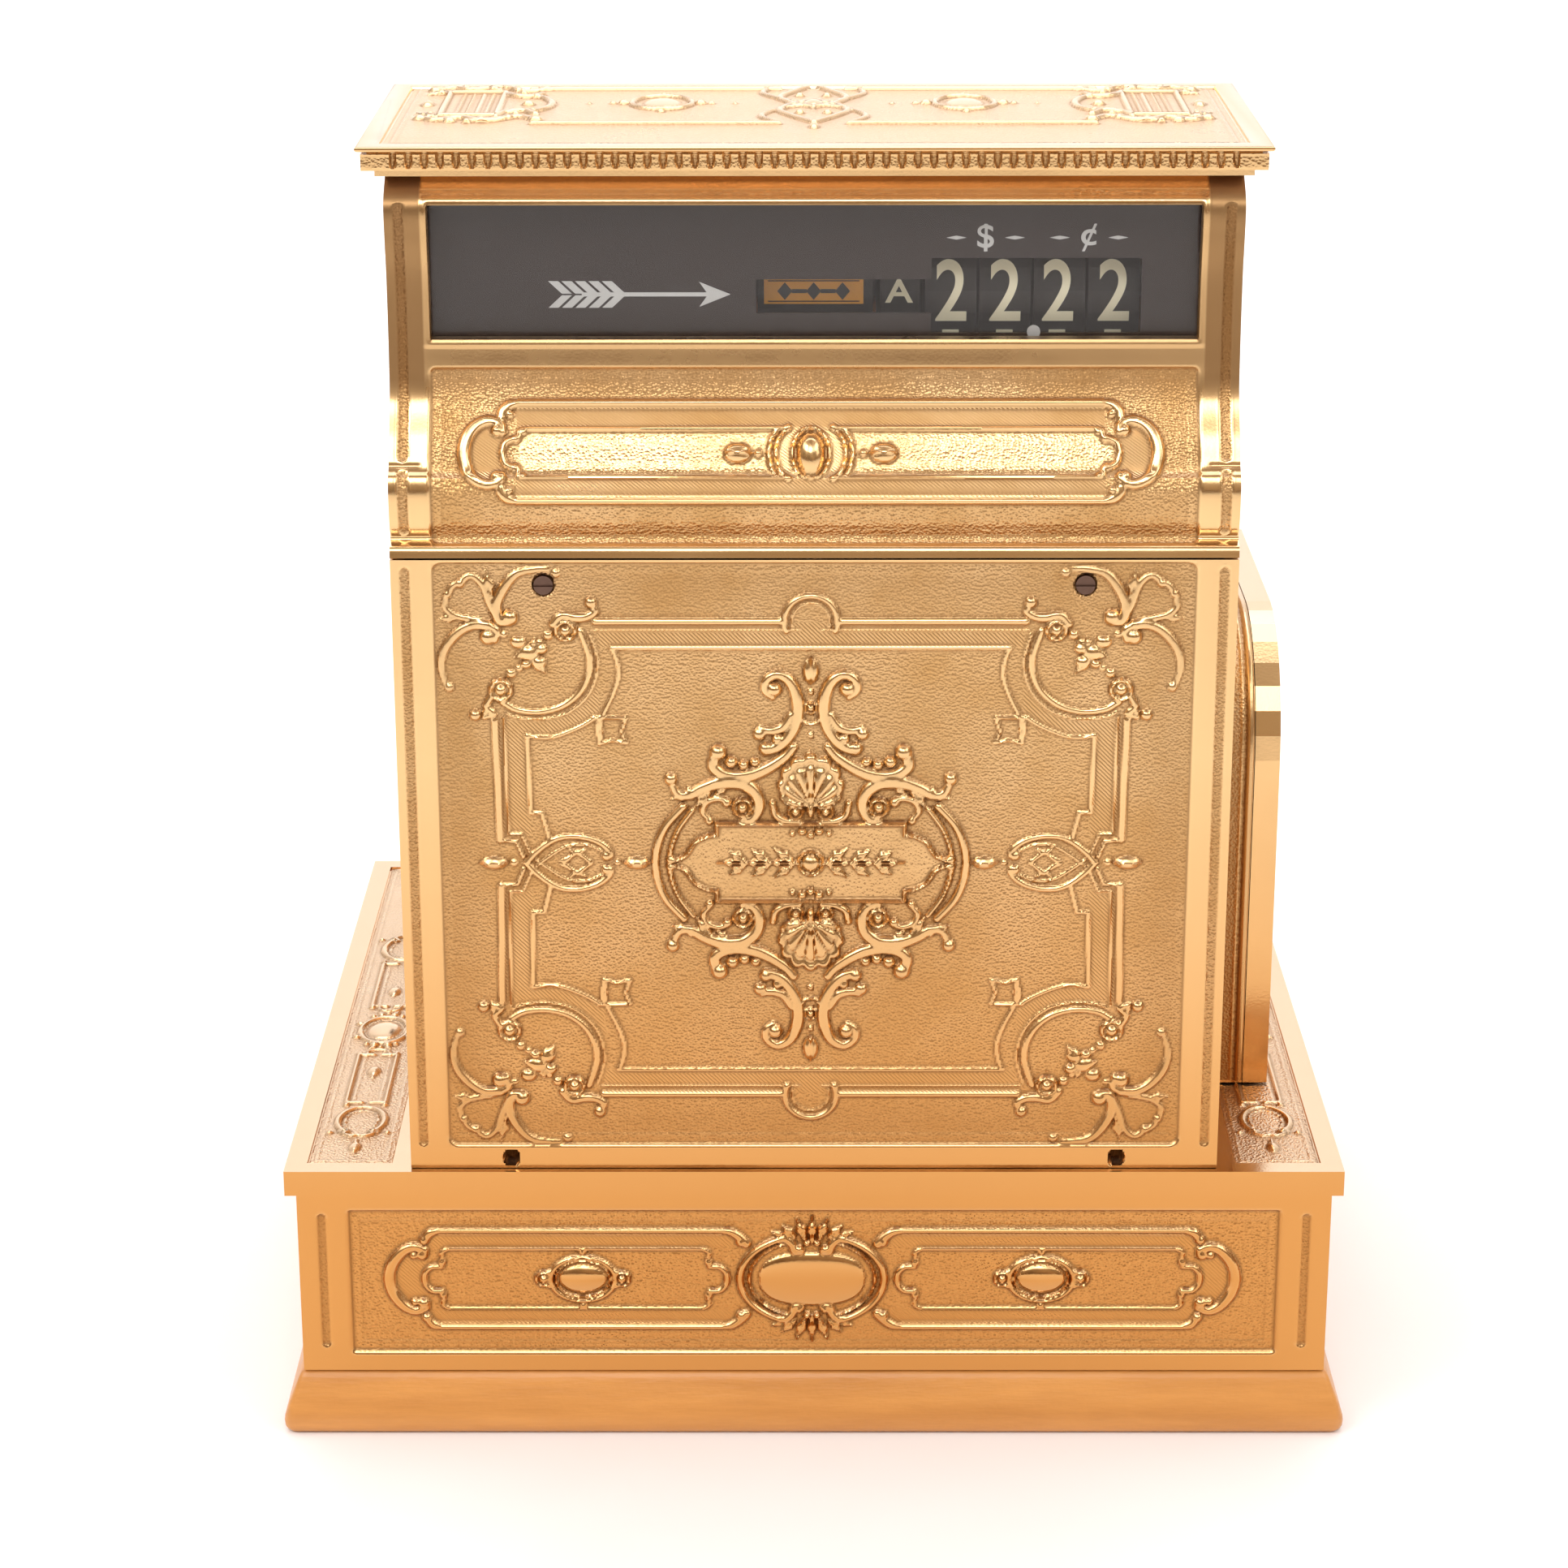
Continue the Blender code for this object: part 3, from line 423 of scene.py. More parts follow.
BRASS_TONE = (0.74, 0.47, 0.225, 1)
BRASS_BRIGHT = (0.85, 0.56, 0.27, 1)
BRASS_PATINA = (0.84, 0.77, 0.64, 1)       # shares of the brass's own tone
BRASS_WARM = (0.88, 0.65, 0.40, 1)
BRASS_LEVEL_SHEEN = (0.72, 0.56, 0.42, 1)         # painted sheen: level faces paler, as where the light from above falls on them
# dark tone for dirt and for painted shade in hollows and corners
BRASS_DIRT_AND_SHADE = (0.16, 0.065, 0.018, 1)


def brass(name, flat_polish=None, stipple=1.0):
    """Cast brass: stippled matt ground, polished high spots, and dirt and painted shade in the corners.

    The masks come from the mesh's relief attribute, or flat_polish stands for them on plain pieces.
    """
    m = Nodes(bpy.data.materials.new(name))
    masks = m.add("ShaderNodeSeparateColor")
    if flat_polish is None:
        m.put(masks.inputs[0], m.add("ShaderNodeAttribute", attribute_name="relief").outputs["Color"])
    else:
        m.put(masks.inputs[0], (flat_polish, 0, 0, 1))
    polish, hatch, dark = masks.outputs[0], masks.outputs[1], masks.outputs[2]
    patina = m.ranged(m.noise(15.0, 5.0, 0.6), 0.0, 1.0, 0.36, 0.64)
    dulled, warmed = (tuple(a * b for a, b in zip(BRASS_TONE, share))
                      for share in (BRASS_PATINA, BRASS_WARM))
    colour = m.mixed(polish, m.mixed(patina, BRASS_TONE, dulled), BRASS_BRIGHT)
    height = m.add("ShaderNodeSeparateXYZ", Vector=m.position).outputs[2]
    low = m.ranged(height, 1.0, 0.0, 0.12, 0.34)
    normal = m.add("ShaderNodeNewGeometry").outputs["Normal"]
    level = m.maths("ABSOLUTE", m.add("ShaderNodeSeparateXYZ", Vector=normal).outputs[2])
    colour = m.mixed(m.maths("MULTIPLY", low, m.ranged(level, 1.0, 0.0)), colour, warmed)
    # painted sheen: faces that lie level are mixed towards a paler tone
    colour = m.mixed(m.ranged(level, 0.0, 0.7, 0.6, 1.0), colour, BRASS_LEVEL_SHEEN)
    # the dark mask mixes in dirt, patina and painted shade
    m.shade(Base_Color=m.mixed(dark, colour, BRASS_DIRT_AND_SHADE), Metallic=1.0)
    rough = m.maths("MULTIPLY_ADD", patina, 0.10, m.ranged(polish, 0.27, 0.12))
    m.shade(Roughness=m.maths("MULTIPLY_ADD", dark, 0.35, rough))
    pits = m.add("ShaderNodeTexVoronoi", Vector=m.position, Scale=760.0).outputs[0]
    lines = m.add("ShaderNodeTexWave", Vector=m.position, Scale=320.0, Distortion=1.0, Detail=1.0,
                  Detail_Scale=3.0, bands_direction="DIAGONAL").outputs[1]
    surface = m.add("ShaderNodeMix", data_type="FLOAT")
    for index, value in ((0, hatch), (2, pits), (3, m.ranged(lines, 0.3, 0.65))):
        m.put(surface.inputs[index], value)
    strength = m.ranged(m.maths("SUBTRACT", 1.0, polish), 0.02, 0.8 * stipple)
    grain = m.bump(0.0006, strength, surface.outputs[0])
    m.shade(Normal=m.bump(0.002, 0.012, m.noise(160.0, 2.0), grain))
    return m.owner


def wood(name, light, dark_tone, axis="X", rough=0.32, coat=0.25):
    """Satin wood with grain along one axis, pores and small dents."""
    m = Nodes(bpy.data.materials.new(name))
    stretch = {"X": (0.12, 1, 1), "Y": (1, 0.12, 1), "Z": (1, 1, 0.12)}[axis]
    along = m.add("ShaderNodeMapping", Vector=m.position, Scale=stretch).outputs[0]
    grain, broad, pores = (m.noise(*kind, along)
                           for kind in ((70.0, 6.0, 0.65), (14.0, 3.0, 0.5), (900.0, 2.0, 0.5)))
    figure = m.mixed(m.ranged(grain, -0.6, 1.6), light, dark_tone)
    shade = (dark_tone[0] * 1.1, dark_tone[1] * 1.2, dark_tone[2], 1)
    m.shade(Base_Color=m.mixed(m.ranged(broad, -0.5, 1.0), figure, shade),
            Roughness=m.ranged(broad, rough - 0.06, rough + 0.12), Coat_Weight=coat, Coat_Roughness=0.2)
    m.shade(Normal=m.bump(0.0003, 0.4, pores, m.bump(0.0012, 0.35, m.noise(90.0))))
    return m.owner


def plain(name, colour, rough, metallic=0.0, speck=0.15, scale=120.0, bump=0.05):
    """A coloured finish with slight mottling, uneven gloss and a fine texture."""
    m = Nodes(bpy.data.materials.new(name))
    shade = tuple(c * (1 - speck) for c in colour) + (1,)
    m.shade(Base_Color=m.mixed(m.noise(scale, 4.0), (*colour, 1), shade), Metallic=metallic,
            Roughness=m.ranged(m.noise(25.0), rough * 0.8, rough * 1.25),
            Normal=m.bump(0.0004, bump * 4, m.noise(scale * 6)))
    return m.owner


def glass(name):
    """A thin clear pane: nearly see-through, with a faint mirror and smears in its gloss."""
    m = Nodes(bpy.data.materials.new(name))
    m.shade(Base_Color=(1.0, 0.95, 0.92, 1), Metallic=1.0, Alpha=0.025,
            Roughness=m.ranged(m.noise(14.0), 0.02, 0.08))
    return m.owner


BRASS = brass("brass_cast")
BRASS_PLAIN = brass("brass_polished", flat_polish=0.92, stipple=0.15)
WOOD = wood("base_wood", (0.79, 0.355, 0.090, 1), (0.53, 0.21, 0.047, 1))
DRAWER_WOOD = wood("drawer_wood_grain", (0.45, 0.25, 0.11, 1), (0.30, 0.15, 0.06, 1), "Y", 0.5, 0.05)
HANDLE_WOOD = wood("handle_wood_grain", (0.10, 0.04, 0.02, 1), (0.05, 0.02, 0.01, 1), "Y", 0.3, 0.4)
STEEL = plain("steel_dull", (0.42, 0.40, 0.38), 0.34, 1.0)
SCREW = plain("screw_browned", (0.20, 0.12, 0.09), 0.42, 1.0, 0.4)
IRON = plain("iron_black", (0.05, 0.05, 0.05), 0.55, 0.3, 0.3)
GLASS = glass("pane_clear")
MASK = plain("mask_enamel", (0.017, 0.009, 0.007), 0.42, 0.0, 0.12, 40.0, 0.0004)
WHEEL = plain("wheel_enamel", (0.012, 0.011, 0.010), 0.4, 0.0, 0.2)
AMBER = plain("amber_enamel", (0.86, 0.40, 0.05), 0.4, 0.0, 0.25)
CREAM = plain("cream_figures", (0.86, 0.82, 0.60), 0.45, 0.0, 0.12)
GREY_WHITE = plain("grey_figures", (0.50, 0.51, 0.50), 0.5)
IVORY = plain("key_ivory", (0.78, 0.70, 0.52), 0.25, 0.0, 0.15, 60.0, 0.01)
RED = plain("key_red_gloss", (0.42, 0.03, 0.02), 0.25, 0.0, 0.2, 60.0, 0.01)
PAPER = plain("paper_white", (0.82, 0.80, 0.74), 0.8, 0.0, 0.06, 300.0)
RUBBER = plain("rubber_black", (0.02, 0.02, 0.02), 0.65, 0.0, 0.2)

SLOT_MATERIALS = {"brass": BRASS_PLAIN, "wood": WOOD, "drawer_wood": DRAWER_WOOD,
                  "handle_wood": HANDLE_WOOD, "steel": STEEL, "cast_iron": IRON, "glass": GLASS,
                  "mask": MASK, "wheel_black": WHEEL, "wheel_amber": WHEEL, "key_top": IVORY,
                  "key_red": RED, "paper": PAPER, "rubber": RUBBER}


def finish_nodes():
    """Every CAD node gets the detailed material of its slot."""
    for part in frame["record"]["subparts"]:
        node = frame["nodes"][part["node"]]
        node.data.materials.clear()
        node.data.materials.append(SLOT_MATERIALS[part["material_slot"]])
    for name in ("cover_screw_left", "cover_screw_right"):
        frame["nodes"][name].data.materials[0] = SCREW


def add_piece(made, body, material, replaces=()):
    """Gives a piece its material, its body and the nodes it stands for."""
    made.data.materials.clear()
    made.data.materials.append(material)
    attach(made, body)
    if replaces:
        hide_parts(*replaces)
    return made


def flat_face(ground_y, shift_z):
    """place and back for a flat casting: where its ground lies, and how far its map is shifted up."""
    def place(x, z, h):
        return np.stack([x, ground_y - h - MID_Y, z + shift_z], 1) * MM

    def back(x, z):
        return place(x, z, np.full_like(x, -CAST_THICKNESS))
    return place, back


def wrapped_face(points, along, tangent, lift):
    """place for a map wrapped onto a profile of (y, z) points, its zero lifted off the profile."""
    def place(x, s, h):
        y, z = (np.interp(s, along, points[:, i]) for i in (0, 1))
        turn_y, turn_z = (np.interp(s, along, tangent[:, i]) for i in (0, 1))
        return np.stack([x, y - (h + lift) * turn_z - MID_Y, z + (h + lift) * turn_y], 1) * MM
    return place


def add_cast(name, r, place, back, replaces=(), keep=None):
    """Adds a relief in cast brass to the cabinet."""
    add_piece(relief_mesh(name, r, place, keep, back), "cabinet", BRASS, replaces=replaces)


# ---- large panel on the customer's side --------------------------------------------------------
def corner_spray(r):
    """Leaf scrolls in a corner of the large panel, with two rosettes and the arc between them."""
    r.strokes(0.3, ((1.4, 2.6, 2.8), (1.0, 2.2, 2.4),
                    [(118, 140), (123, 140), (132, 138), (138.3, 130.7), (141.5, 122.7), (140, 116.5),
                     (136, 116)]),
              ((2.6, 2.4, 1.2), (2.4, 2.0, 1.0),
               [(145.4, 114), (152.4, 114), (158.7, 110.7), (164.5, 104), (167, 96), (165.7, 88),
                (164, 85)]))
    r.strokes(0.2, ((2.2, 1.8, 1.6), (1.8, 1.6, 1.4),
                    [(140.9, 116.7), (144.1, 124), (147.3, 132.7), (152.4, 137.1), (157.5, 134), (161, 132),
                     (163.4, 128)]),
              ((1.6, 1.8, 1.4), (1.6, 1.4, 1.2),
               [(142.2, 110.7), (147.3, 115.4), (154.9, 117.1), (160.6, 118.7), (164.5, 122.4),
                (164.1, 127)]),
              ((2.0, 2.4, 1.6), (1.9, 2.1, 1.6),
               [(116.2, 114.5), (112, 118.4), (105.2, 117.4), (100.5, 118), (97, 120.5), (98.6, 123.8)]))
    r.strokes(0, (2.2, 2.0, [(145.4, 114), (141.5, 111.6), (142.6, 107.2)]),
              ((1.8, 2.0, 1.4), (1.8, 1.8, 1.4), [(145, 80), (147, 75.6), (144, 72), (148, 70.5)]),
              (0.8, 0.7, [(99.6, 110), (97.6, 104), (96.3, 97), (97.6, 87.8), (102.4, 79), (111, 72.2),
                          (122.5, 69.4), (133.5, 70.4), (138.6, 72.6)]))
    r.stroke([(103.8, 111), (101.3, 104), (99.8, 97.3), (101, 89.3), (105.2, 81.6), (112.9, 75.6),
              (123, 73), (133.2, 74), (139.6, 77.6)], 1.7, 1.5, groove=0.15)
    r.beads((135.4, 117.6, 3.9, 2.8), (114.2, 138.2, 2.3, 1.6), (145.4, 108.4, 3.9, 2.8),
            (163.6, 84.6, 2.4, 1.6), (157.5, 133.6, 2.3, 2.0), (163.2, 128.4, 2.0, 1.7),
            (138.3, 109.4, 1.6, 1.2), (98.9, 124.6, 2.9, 2.2), (118.4, 109.2, 2.4, 1.7),
            (122.2, 105.8, 1.8, 1.4), (152.2, 71.4, 2.9, 2.2), (147.4, 72.6, 1.8, 1.4),
            (135.4, 91.2, 2.4, 1.7), (131.8, 93.6, 1.7, 1.3))
    for x, z, size in ((132, 106, 3.8), (127.2, 100.8, 4.6), (123, 96.4, 3.6), (121.6, 102.8, 3.0),
                       (128.6, 95.6, 2.6)):
        r.bead(x, z, size, 2.2, size * 0.85)
    r.leaves((143.6, 126, 146, 140.5, 3.0, 2.0, 2), (158, 118, 168.5, 116.6, 2.4, 1.6, 2),
             (126, 99, 119, 90.5, 3.0, 2.2, 2), (128, 101, 134.5, 99, 2.4, 1.7, 2),
             (126, 102, 124, 108.5, 2.2, 1.6, 2))
    r.spiral(110.6, 111.4, 5.2, 2.4)
    r.spiral(140.4, 83.4, 5.6, 2.4)


def frame_bands(r):
    """Outer and inner strapwork frames of the large panel, with their corner knots."""
    r.rails((1.9, 1.5, [(97, 115.6), (12.6, 115.6)]),
            (0.6, 0.5, [(99, 111.4), (5, 111.4)]),
            (1.8, 1.4, [(143.6, 69), (142.4, 11)]),
            (0.8, 0.9, [(139.4, 71), (138.4, 14.2), (132.6, 14.2), (128, 3.5)]),
            (1.1, 1.1, [(142.4, 11), (135, 10.4), (132, 3)]),
            (1.2, 1.1, [(90, 103.2), (0, 103.2)]),
            (1.1, 1.2, [(98.5, 70.2), (84, 70), (86, 64), (83.8, 58), (90, 59.4), (96, 57.8), (95, 64),
                        (96, 70)]),
            (1.2, 1.1, [(129, 61.6), (128.1, 24.4), (123, 24.4), (119.5, 11)]))
    r.strokes(0, (1.7, 1.6, arc(12, 11.6, -0.42, math.pi / 2, 9, z=116)),
              (0.7, 0.6, arc(8.6, 8.4, -0.3, math.pi / 2, 8, z=115.6)),
              (1.2, 1.1, [(90, 103.2), (88, 99), (86.9, 91), (89.6, 81.6), (94, 72.4), (96.9, 66.2),
                          (95.7, 58.8)]),
              (1.2, 1.1, [(98.5, 69.6), (105.2, 65.6), (115.4, 61.4), (122, 60.6), (129, 61.6)]))


def side_knot(r):
    """Oval knot at mid-height of each side, with its diamond, buds and beads."""
    r.stroke([(133, -3), (126, 5.2), (117, 11.6), (108, 13), (99, 11), (93.2, 7), (91.8, 3.6)], 1.6, 1.6,
             groove=0.15)
    for side in (-1, 1):
        r.stroke([(126, -1.6 * side), (121, 2.4 * side), (112, 8 * side), (103, 8.8 * side),
                  (96, 6 * side)], 0.9, 0.9)
    r.rails((1.0, 1.2, [(113.4, 0), (107.2, 5.6), (101, 0)]), (0.9, 1.0, [(110.4, 6.4), (100.8, 0.6)]),
            (0.9, 1.0, [(104, 6.4), (114.6, 0.8)]))
    for x, wide in ((145.4, 6.2), (79.7, 5.6)):
        r.bead(x, 0, wide, 2.4, 3.3)
        r.stroke([(x - wide, 0), (x + wide, 0)], 0.6, 2.6)
    r.beads((93.6, 3.4, 2.6, 1.9), (136.3, 0, 1.9, 1.3), (88.8, 0, 1.6, 1.2))


def centre_scrolls(r):
    """Acanthus scrolls that wreathe the central cartouche."""
    r.strokes(0.3, ((1.8, 3.2, 2.8), (2.0, 2.8, 2.4),
                    [(17.4, 80.2), (20.6, 83), (20.2, 87.6), (15.6, 90.6), (10.4, 88.4), (7.2, 83),
                     (5.8, 76), (6.6, 68.6), (9.6, 61.8), (14.6, 56.6), (20.4, 54.4)]),
              ((2.8, 3.6, 2.2), (2.4, 3.0, 2.2),
               [(43.6, 52), (44.4, 47), (40.4, 43.4), (34, 42), (26.6, 43), (19, 46.4), (11.6, 51.6),
                (8, 56)]))
    r.stroke([(8.6, 71), (12.8, 65.4), (18.6, 63.8), (22.6, 64.6)], (2.4, 2.4, 2.0), (2.2, 2.2, 1.8),
             groove=0.25)
    r.stroke([(63, 37.6), (60.6, 33.6), (55.4, 33), (48.8, 36.6), (40, 39.4), (31.4, 38.8), (25.4, 34.2),
              (23.6, 27.4), (26.4, 21.8), (31, 20.8)], (1.8, 4.0, 2.0), (2.0, 3.2, 2.2), groove=0.35)
    r.strokes(0, (0.6, 2.9, [(0, 86.5), (0, 98)]), (1.0, 1.3, [(4.5, 71), (2.6, 67.8), (0, 67.2)]),
              ((1.4, 1.8, 1.8), (1.6, 1.9, 2.0),
               [(46.4, 21.2), (49.4, 25), (47.6, 29.6), (42.6, 31.4), (38.4, 30.4)]))
    r.beads((0, 92.2, 3.7, 2.6, 6.2), (0, 82.3, 1.5, 1.3), (0, 61.6, 1.7, 1.3), (16.6, 83.6, 3.6, 3.0),
            (20.6, 55.6, 3.2, 2.8), (15.4, 60.0, 2.4, 2.5), (23.4, 62.4, 3.2, 2.5), (42.2, 53.6, 4.0, 3.2),
            (36.2, 49, 3.0, 2.8), (30.6, 47.6, 2.6, 2.6), (25.4, 48.8, 2.4, 2.4), (63.8, 40.8, 3.2, 2.6),
            (38.4, 29.4, 2.4, 2.4), (46.4, 20.4, 2.0, 2.0))
    r.leaves((50, 35, 64.6, 31, 3.4, 2.4, 3), (46, 35.5, 53, 26.8, 3.2, 2.6, 2),
             (38, 38, 44, 32.6, 2.4, 2.4, 2))
    r.spiral(0, 74.8, 3.3, 2.0)
    r.spiral(31.2, 27, 5.0, 3.0)


def centre_plate(r):
    """Ring, name plate with a sprig and a rosette where a name would stand, scallop shell and volutes."""
    r.strokes(0.15, (2.0, 2.2, [(58.4, 27.4), (66.4, 18), (70.4, 8), (71.6, -2)]),
              (1.3, 2.2, [(54, 26), (60.6, 16.4), (64.2, 6.4), (64.8, -0.5)]))
    gx, gz = r.grid()
    end = 13.6 * np.cos(np.clip((gx - 44.4) / 18, 0, 1) * math.pi / 2) ** 0.8
    edge = np.where(gx < 43, 18.8, end)
    plate = smooth((edge - np.abs(gz)) / 0.9) * (gx < 62)
    r.h = np.maximum(r.h * (1 - plate), 0.45 * plate)
    r.rail([(0, 18.8), (43, 18.8), (43, 13.6), (47, 13.2)], 1.1, 2.6)
    for x, long in ((8, 9.5), (19, 9.0), (30, 8.0)):
        r.leaf(x, 0.6, x + long, 7.4 * long / 9.5, 2.8, 2.9, 2)
        r.stroke([(x - 1, 0), (x + 4, 2.2), (x + 9, 0)], 0.9, 2.4)
        r.bead(x + 7.2, 0, 1.3, 2.6)
    r.strokes(0, (1.2, 2.4, [(47, 13.2), (53, 10), (57.4, 3.6), (64, 0.8)]),
              (1.0, 2.4, arc(5.6, 5.6, 0, math.pi / 2, 8)), ((0.9, 0.8, 0.5), 2.2, [(5, 0), (43, 0)]),
              ((1.6, 2.0, 1.4), (2.2, 2.3, 2.0), [(17.4, 29), (16, 23.4), (11, 20.6), (5, 20.4)]))
    r.shell(0, 28.0, 19.6, 26.4, 3.4)
    r.spiral(6.9, 25, 4.0, 3.0)
    r.beads((64.4, 1.8, 2.2, 2.6), (0, 0, 4.6, 3.0), (0, 26, 1.8, 3.0, 4.2), (0, 13.8, 2.0, 2.8),
            (3.9, 15.4, 2.1, 2.8), (8.4, 14.4, 1.5, 2.5))


def cover_relief():
    """The large cover: polished frame with fluted stiles around the ornamented recess."""
    quarter = Relief(spaced(0, PANEL_X, 0.78), spaced(0, PANEL_Z[1] - FOLD_Z, 0.78))
    for draw in (corner_spray, frame_bands, side_knot, centre_scrolls, centre_plate):
        draw(quarter)
    gx, gz = quarter.grid()
    band = ((gz > 103.2) & (gz < 115) & (gx < 96)) | ((gx > 128) & (gx < 143) & (gz < 68) & (gz > 14))
    corner = (np.hypot(gx - 118, gz - 92) > 22) & (gx + gz > 166)
    band |= (gx > 96) & (gx < 130) & (gz > 62) & (gz < 104) & corner
    quarter.hatch[band] = 1.0
    whole = quarter.mirrored(1, 0)
    head = PANEL_Z[1] - FOLD_Z
    full = whole.bordered(spaced(COVER_FOOT - FOLD_Z, whole.zs[0], 1.2)[:-1], [head + 0.6, head + 1.2],
                          CABINET_X, -2)
    gx, gz = full.grid()
    gz += FOLD_Z
    frame_rise(full, gx, gz, PANEL_X, PANEL_Z, FRAME_LIFT, 5.0)
    flute(full, np.abs(gx), gz, (181.4, 186.0), (148, 431))
    # painted shade: the ground darker near the recess's edges and round the central ornament
    edge = np.minimum(PANEL_X - np.abs(gx), np.minimum(gz - PANEL_Z[0], PANEL_Z[1] - gz))
    centre = np.exp(-(np.hypot(gx / 84, (gz - sum(PANEL_Z) / 2) / 84)) ** 4)
    full.dark = (0.15 * smooth((36 - edge) / 28) + 0.10 * centre) * (edge > 0)
    for side in (-1, 1):
        sink(full, gx, gz, side * 121.7, 422, 4.9, -1.9)
        sink(full, gx, gz, side * 142.5, 141.9, 3.7, -5.0, dark=True)
    middle = np.searchsorted(full.xs, 0.0)
    for name, columns in (("left", slice(0, middle + 1)), ("right", slice(middle, None))):
        half = full.part(slice(None), columns)
        add_cast(f"back_cover_{name}", half, *flat_face(COVER_Y, FOLD_Z), replaces=("back_cover",))


def frame_rise(r, gx, gz, half_width, z_range, depth, corner):
    """The frame around a recess: it rises from the sunk ground, with a thin line just inside."""
    middle, half_height = sum(z_range) / 2, (z_range[1] - z_range[0]) / 2
    dx = np.abs(gx) - (half_width - corner)
    dz = np.abs(gz - middle) - (half_height - corner)
    outside = np.hypot(np.maximum(dx, 0), np.maximum(dz, 0)) + np.minimum(np.maximum(dx, dz), 0) - corner
    rise = smooth((outside + 1.2) / 1.6)
    r.h = np.maximum(r.h * (1 - rise), depth * rise)
    r.shine = np.maximum(r.shine, smooth((outside + 1.4) / 0.8))
    r.ridge(outside, -5.0, 0.55, 0.35, 1)
    r.raise_to(..., 0.22 * smooth((outside + 4.6) / 0.5) * (outside < 0))


def flute(r, gx, gz, x_range, z_range):
    """A shallow round-ended groove sunk in a polished stile."""
    middle, half = sum(x_range) / 2, (x_range[1] - x_range[0]) / 2
    end = np.maximum(np.maximum(z_range[0] + half - gz, gz - z_range[1] + half), 0)
    q = np.hypot(gx - middle, end) / half
    r.h = np.where(q < 1, FRAME_LIFT - 1.1 * dome(q), r.h) + 0.15 * dome((q - 1.12) / 0.2, 1)
    r.matt = np.maximum(r.matt, 0.9 * smooth((1.0 - q) / 0.3))


def sink(r, gx, gz, x, z, radius, level, dark=False):
    """A round hole down to a level; with dark set, its floor gets painted shade."""
    inside = smooth((radius - np.hypot(gx - x, gz - z)) / 0.7 + 0.5)
    r.h = r.h * (1 - inside) + level * inside
    r.shine = r.shine * (1 - inside)
    # painted shade: an open hole's floor darkened
    if dark:
        r.dark = np.maximum(r.dark, inside)


# ---- upper casting on the customer's side -------------------------------------------------------
FACE_PROFILE = [(4.0, 435.1), (5.6, 439.5), (10.9, 442.5), (8.1, 450.0), (7.0, 463.0), (9.0, 470.5),
                (13.1, 474.5), (18.8, 486.0), (28.5, 502.7), (31.0, 520.0), (32.0, 540.0), (31.8, 559.0),
                (29.5, 575.0), (29.5, 590.0), (41.5, 600.7)]
WINDOW_X, WINDOW_Z = 171.0, (528.0, 589.5)
CURVED_MID = 52.6              # height of the cartouche's middle, along the profile


def long_cartouche(r):
    """Quadrant of the long cartouche, in distances from its middle."""
    r.rails((1.9, 1.9, [(131, 23.2), (0, 23.2)]), (0.6, 0.6, [(131, 21.0), (0, 21.0)]),
            (1.3, 1.3, [(126.6, 11.4), (10.6, 11.6)]))
    r.stroke([(131, 23.2), (135, 22.2), (138, 19.2), (138.4, 16.6)], (1.6, 2.6, 2.2), (1.8, 2.2, 1.8),
             groove=0.2)
    r.stroke([(155.2, -3), (154.8, 3), (152.6, 9.2), (148.6, 13.6), (143.6, 15.2), (139, 13.4), (138, 10)],
             (3.4, 3.0, 2.2), (2.4, 2.6, 2.2), groove=0.35)
    r.strokes(0, ((1.0, 1.7, 1.6), (1.2, 1.6, 1.5),
                  [(126.6, 11.4), (130.2, 10.6), (130.6, 7.4), (133.4, 6.4), (136.6, 4.6), (138, 0)]),
              (1.2, 1.4, [(14.6, 11.4), (17.9, 6), (19, 0)]),
              (1.0, 1.2, [(9.6, 12), (14.2, 6.6), (15.8, 0)]), (0.7, 2.9, [(27, 0), (38.4, 0)]),
              (0.6, 2.2, [(28.4, 2.6), (38, 1.8)]), (1.0, 1.3, arc(8.4, 12, 0, math.pi / 2, 10)))
    r.beads((134.6, 18.2, 2.0, 1.7), (140.2, 10.6, 2.9, 2.4), (131.8, 6.6, 2.2, 1.9),
            (128.4, 9.8, 1.6, 1.5), (10.2, 12.0, 1.9, 1.6), (32.6, 0, 6.4, 2.6, 4.8), (23.4, 0, 1.8, 1.4),
            (0, 0, 6.4, 4.6, 9.8))
    gx, gz = r.grid()
    stippled = (gz > 12.6) & (gz < 21) & (gx < 132) | (gx > 138) & (gx < 152) & (gz < 12)
    r.hatch[stippled | (gx < 15) & (gz < 21)] = 1.0


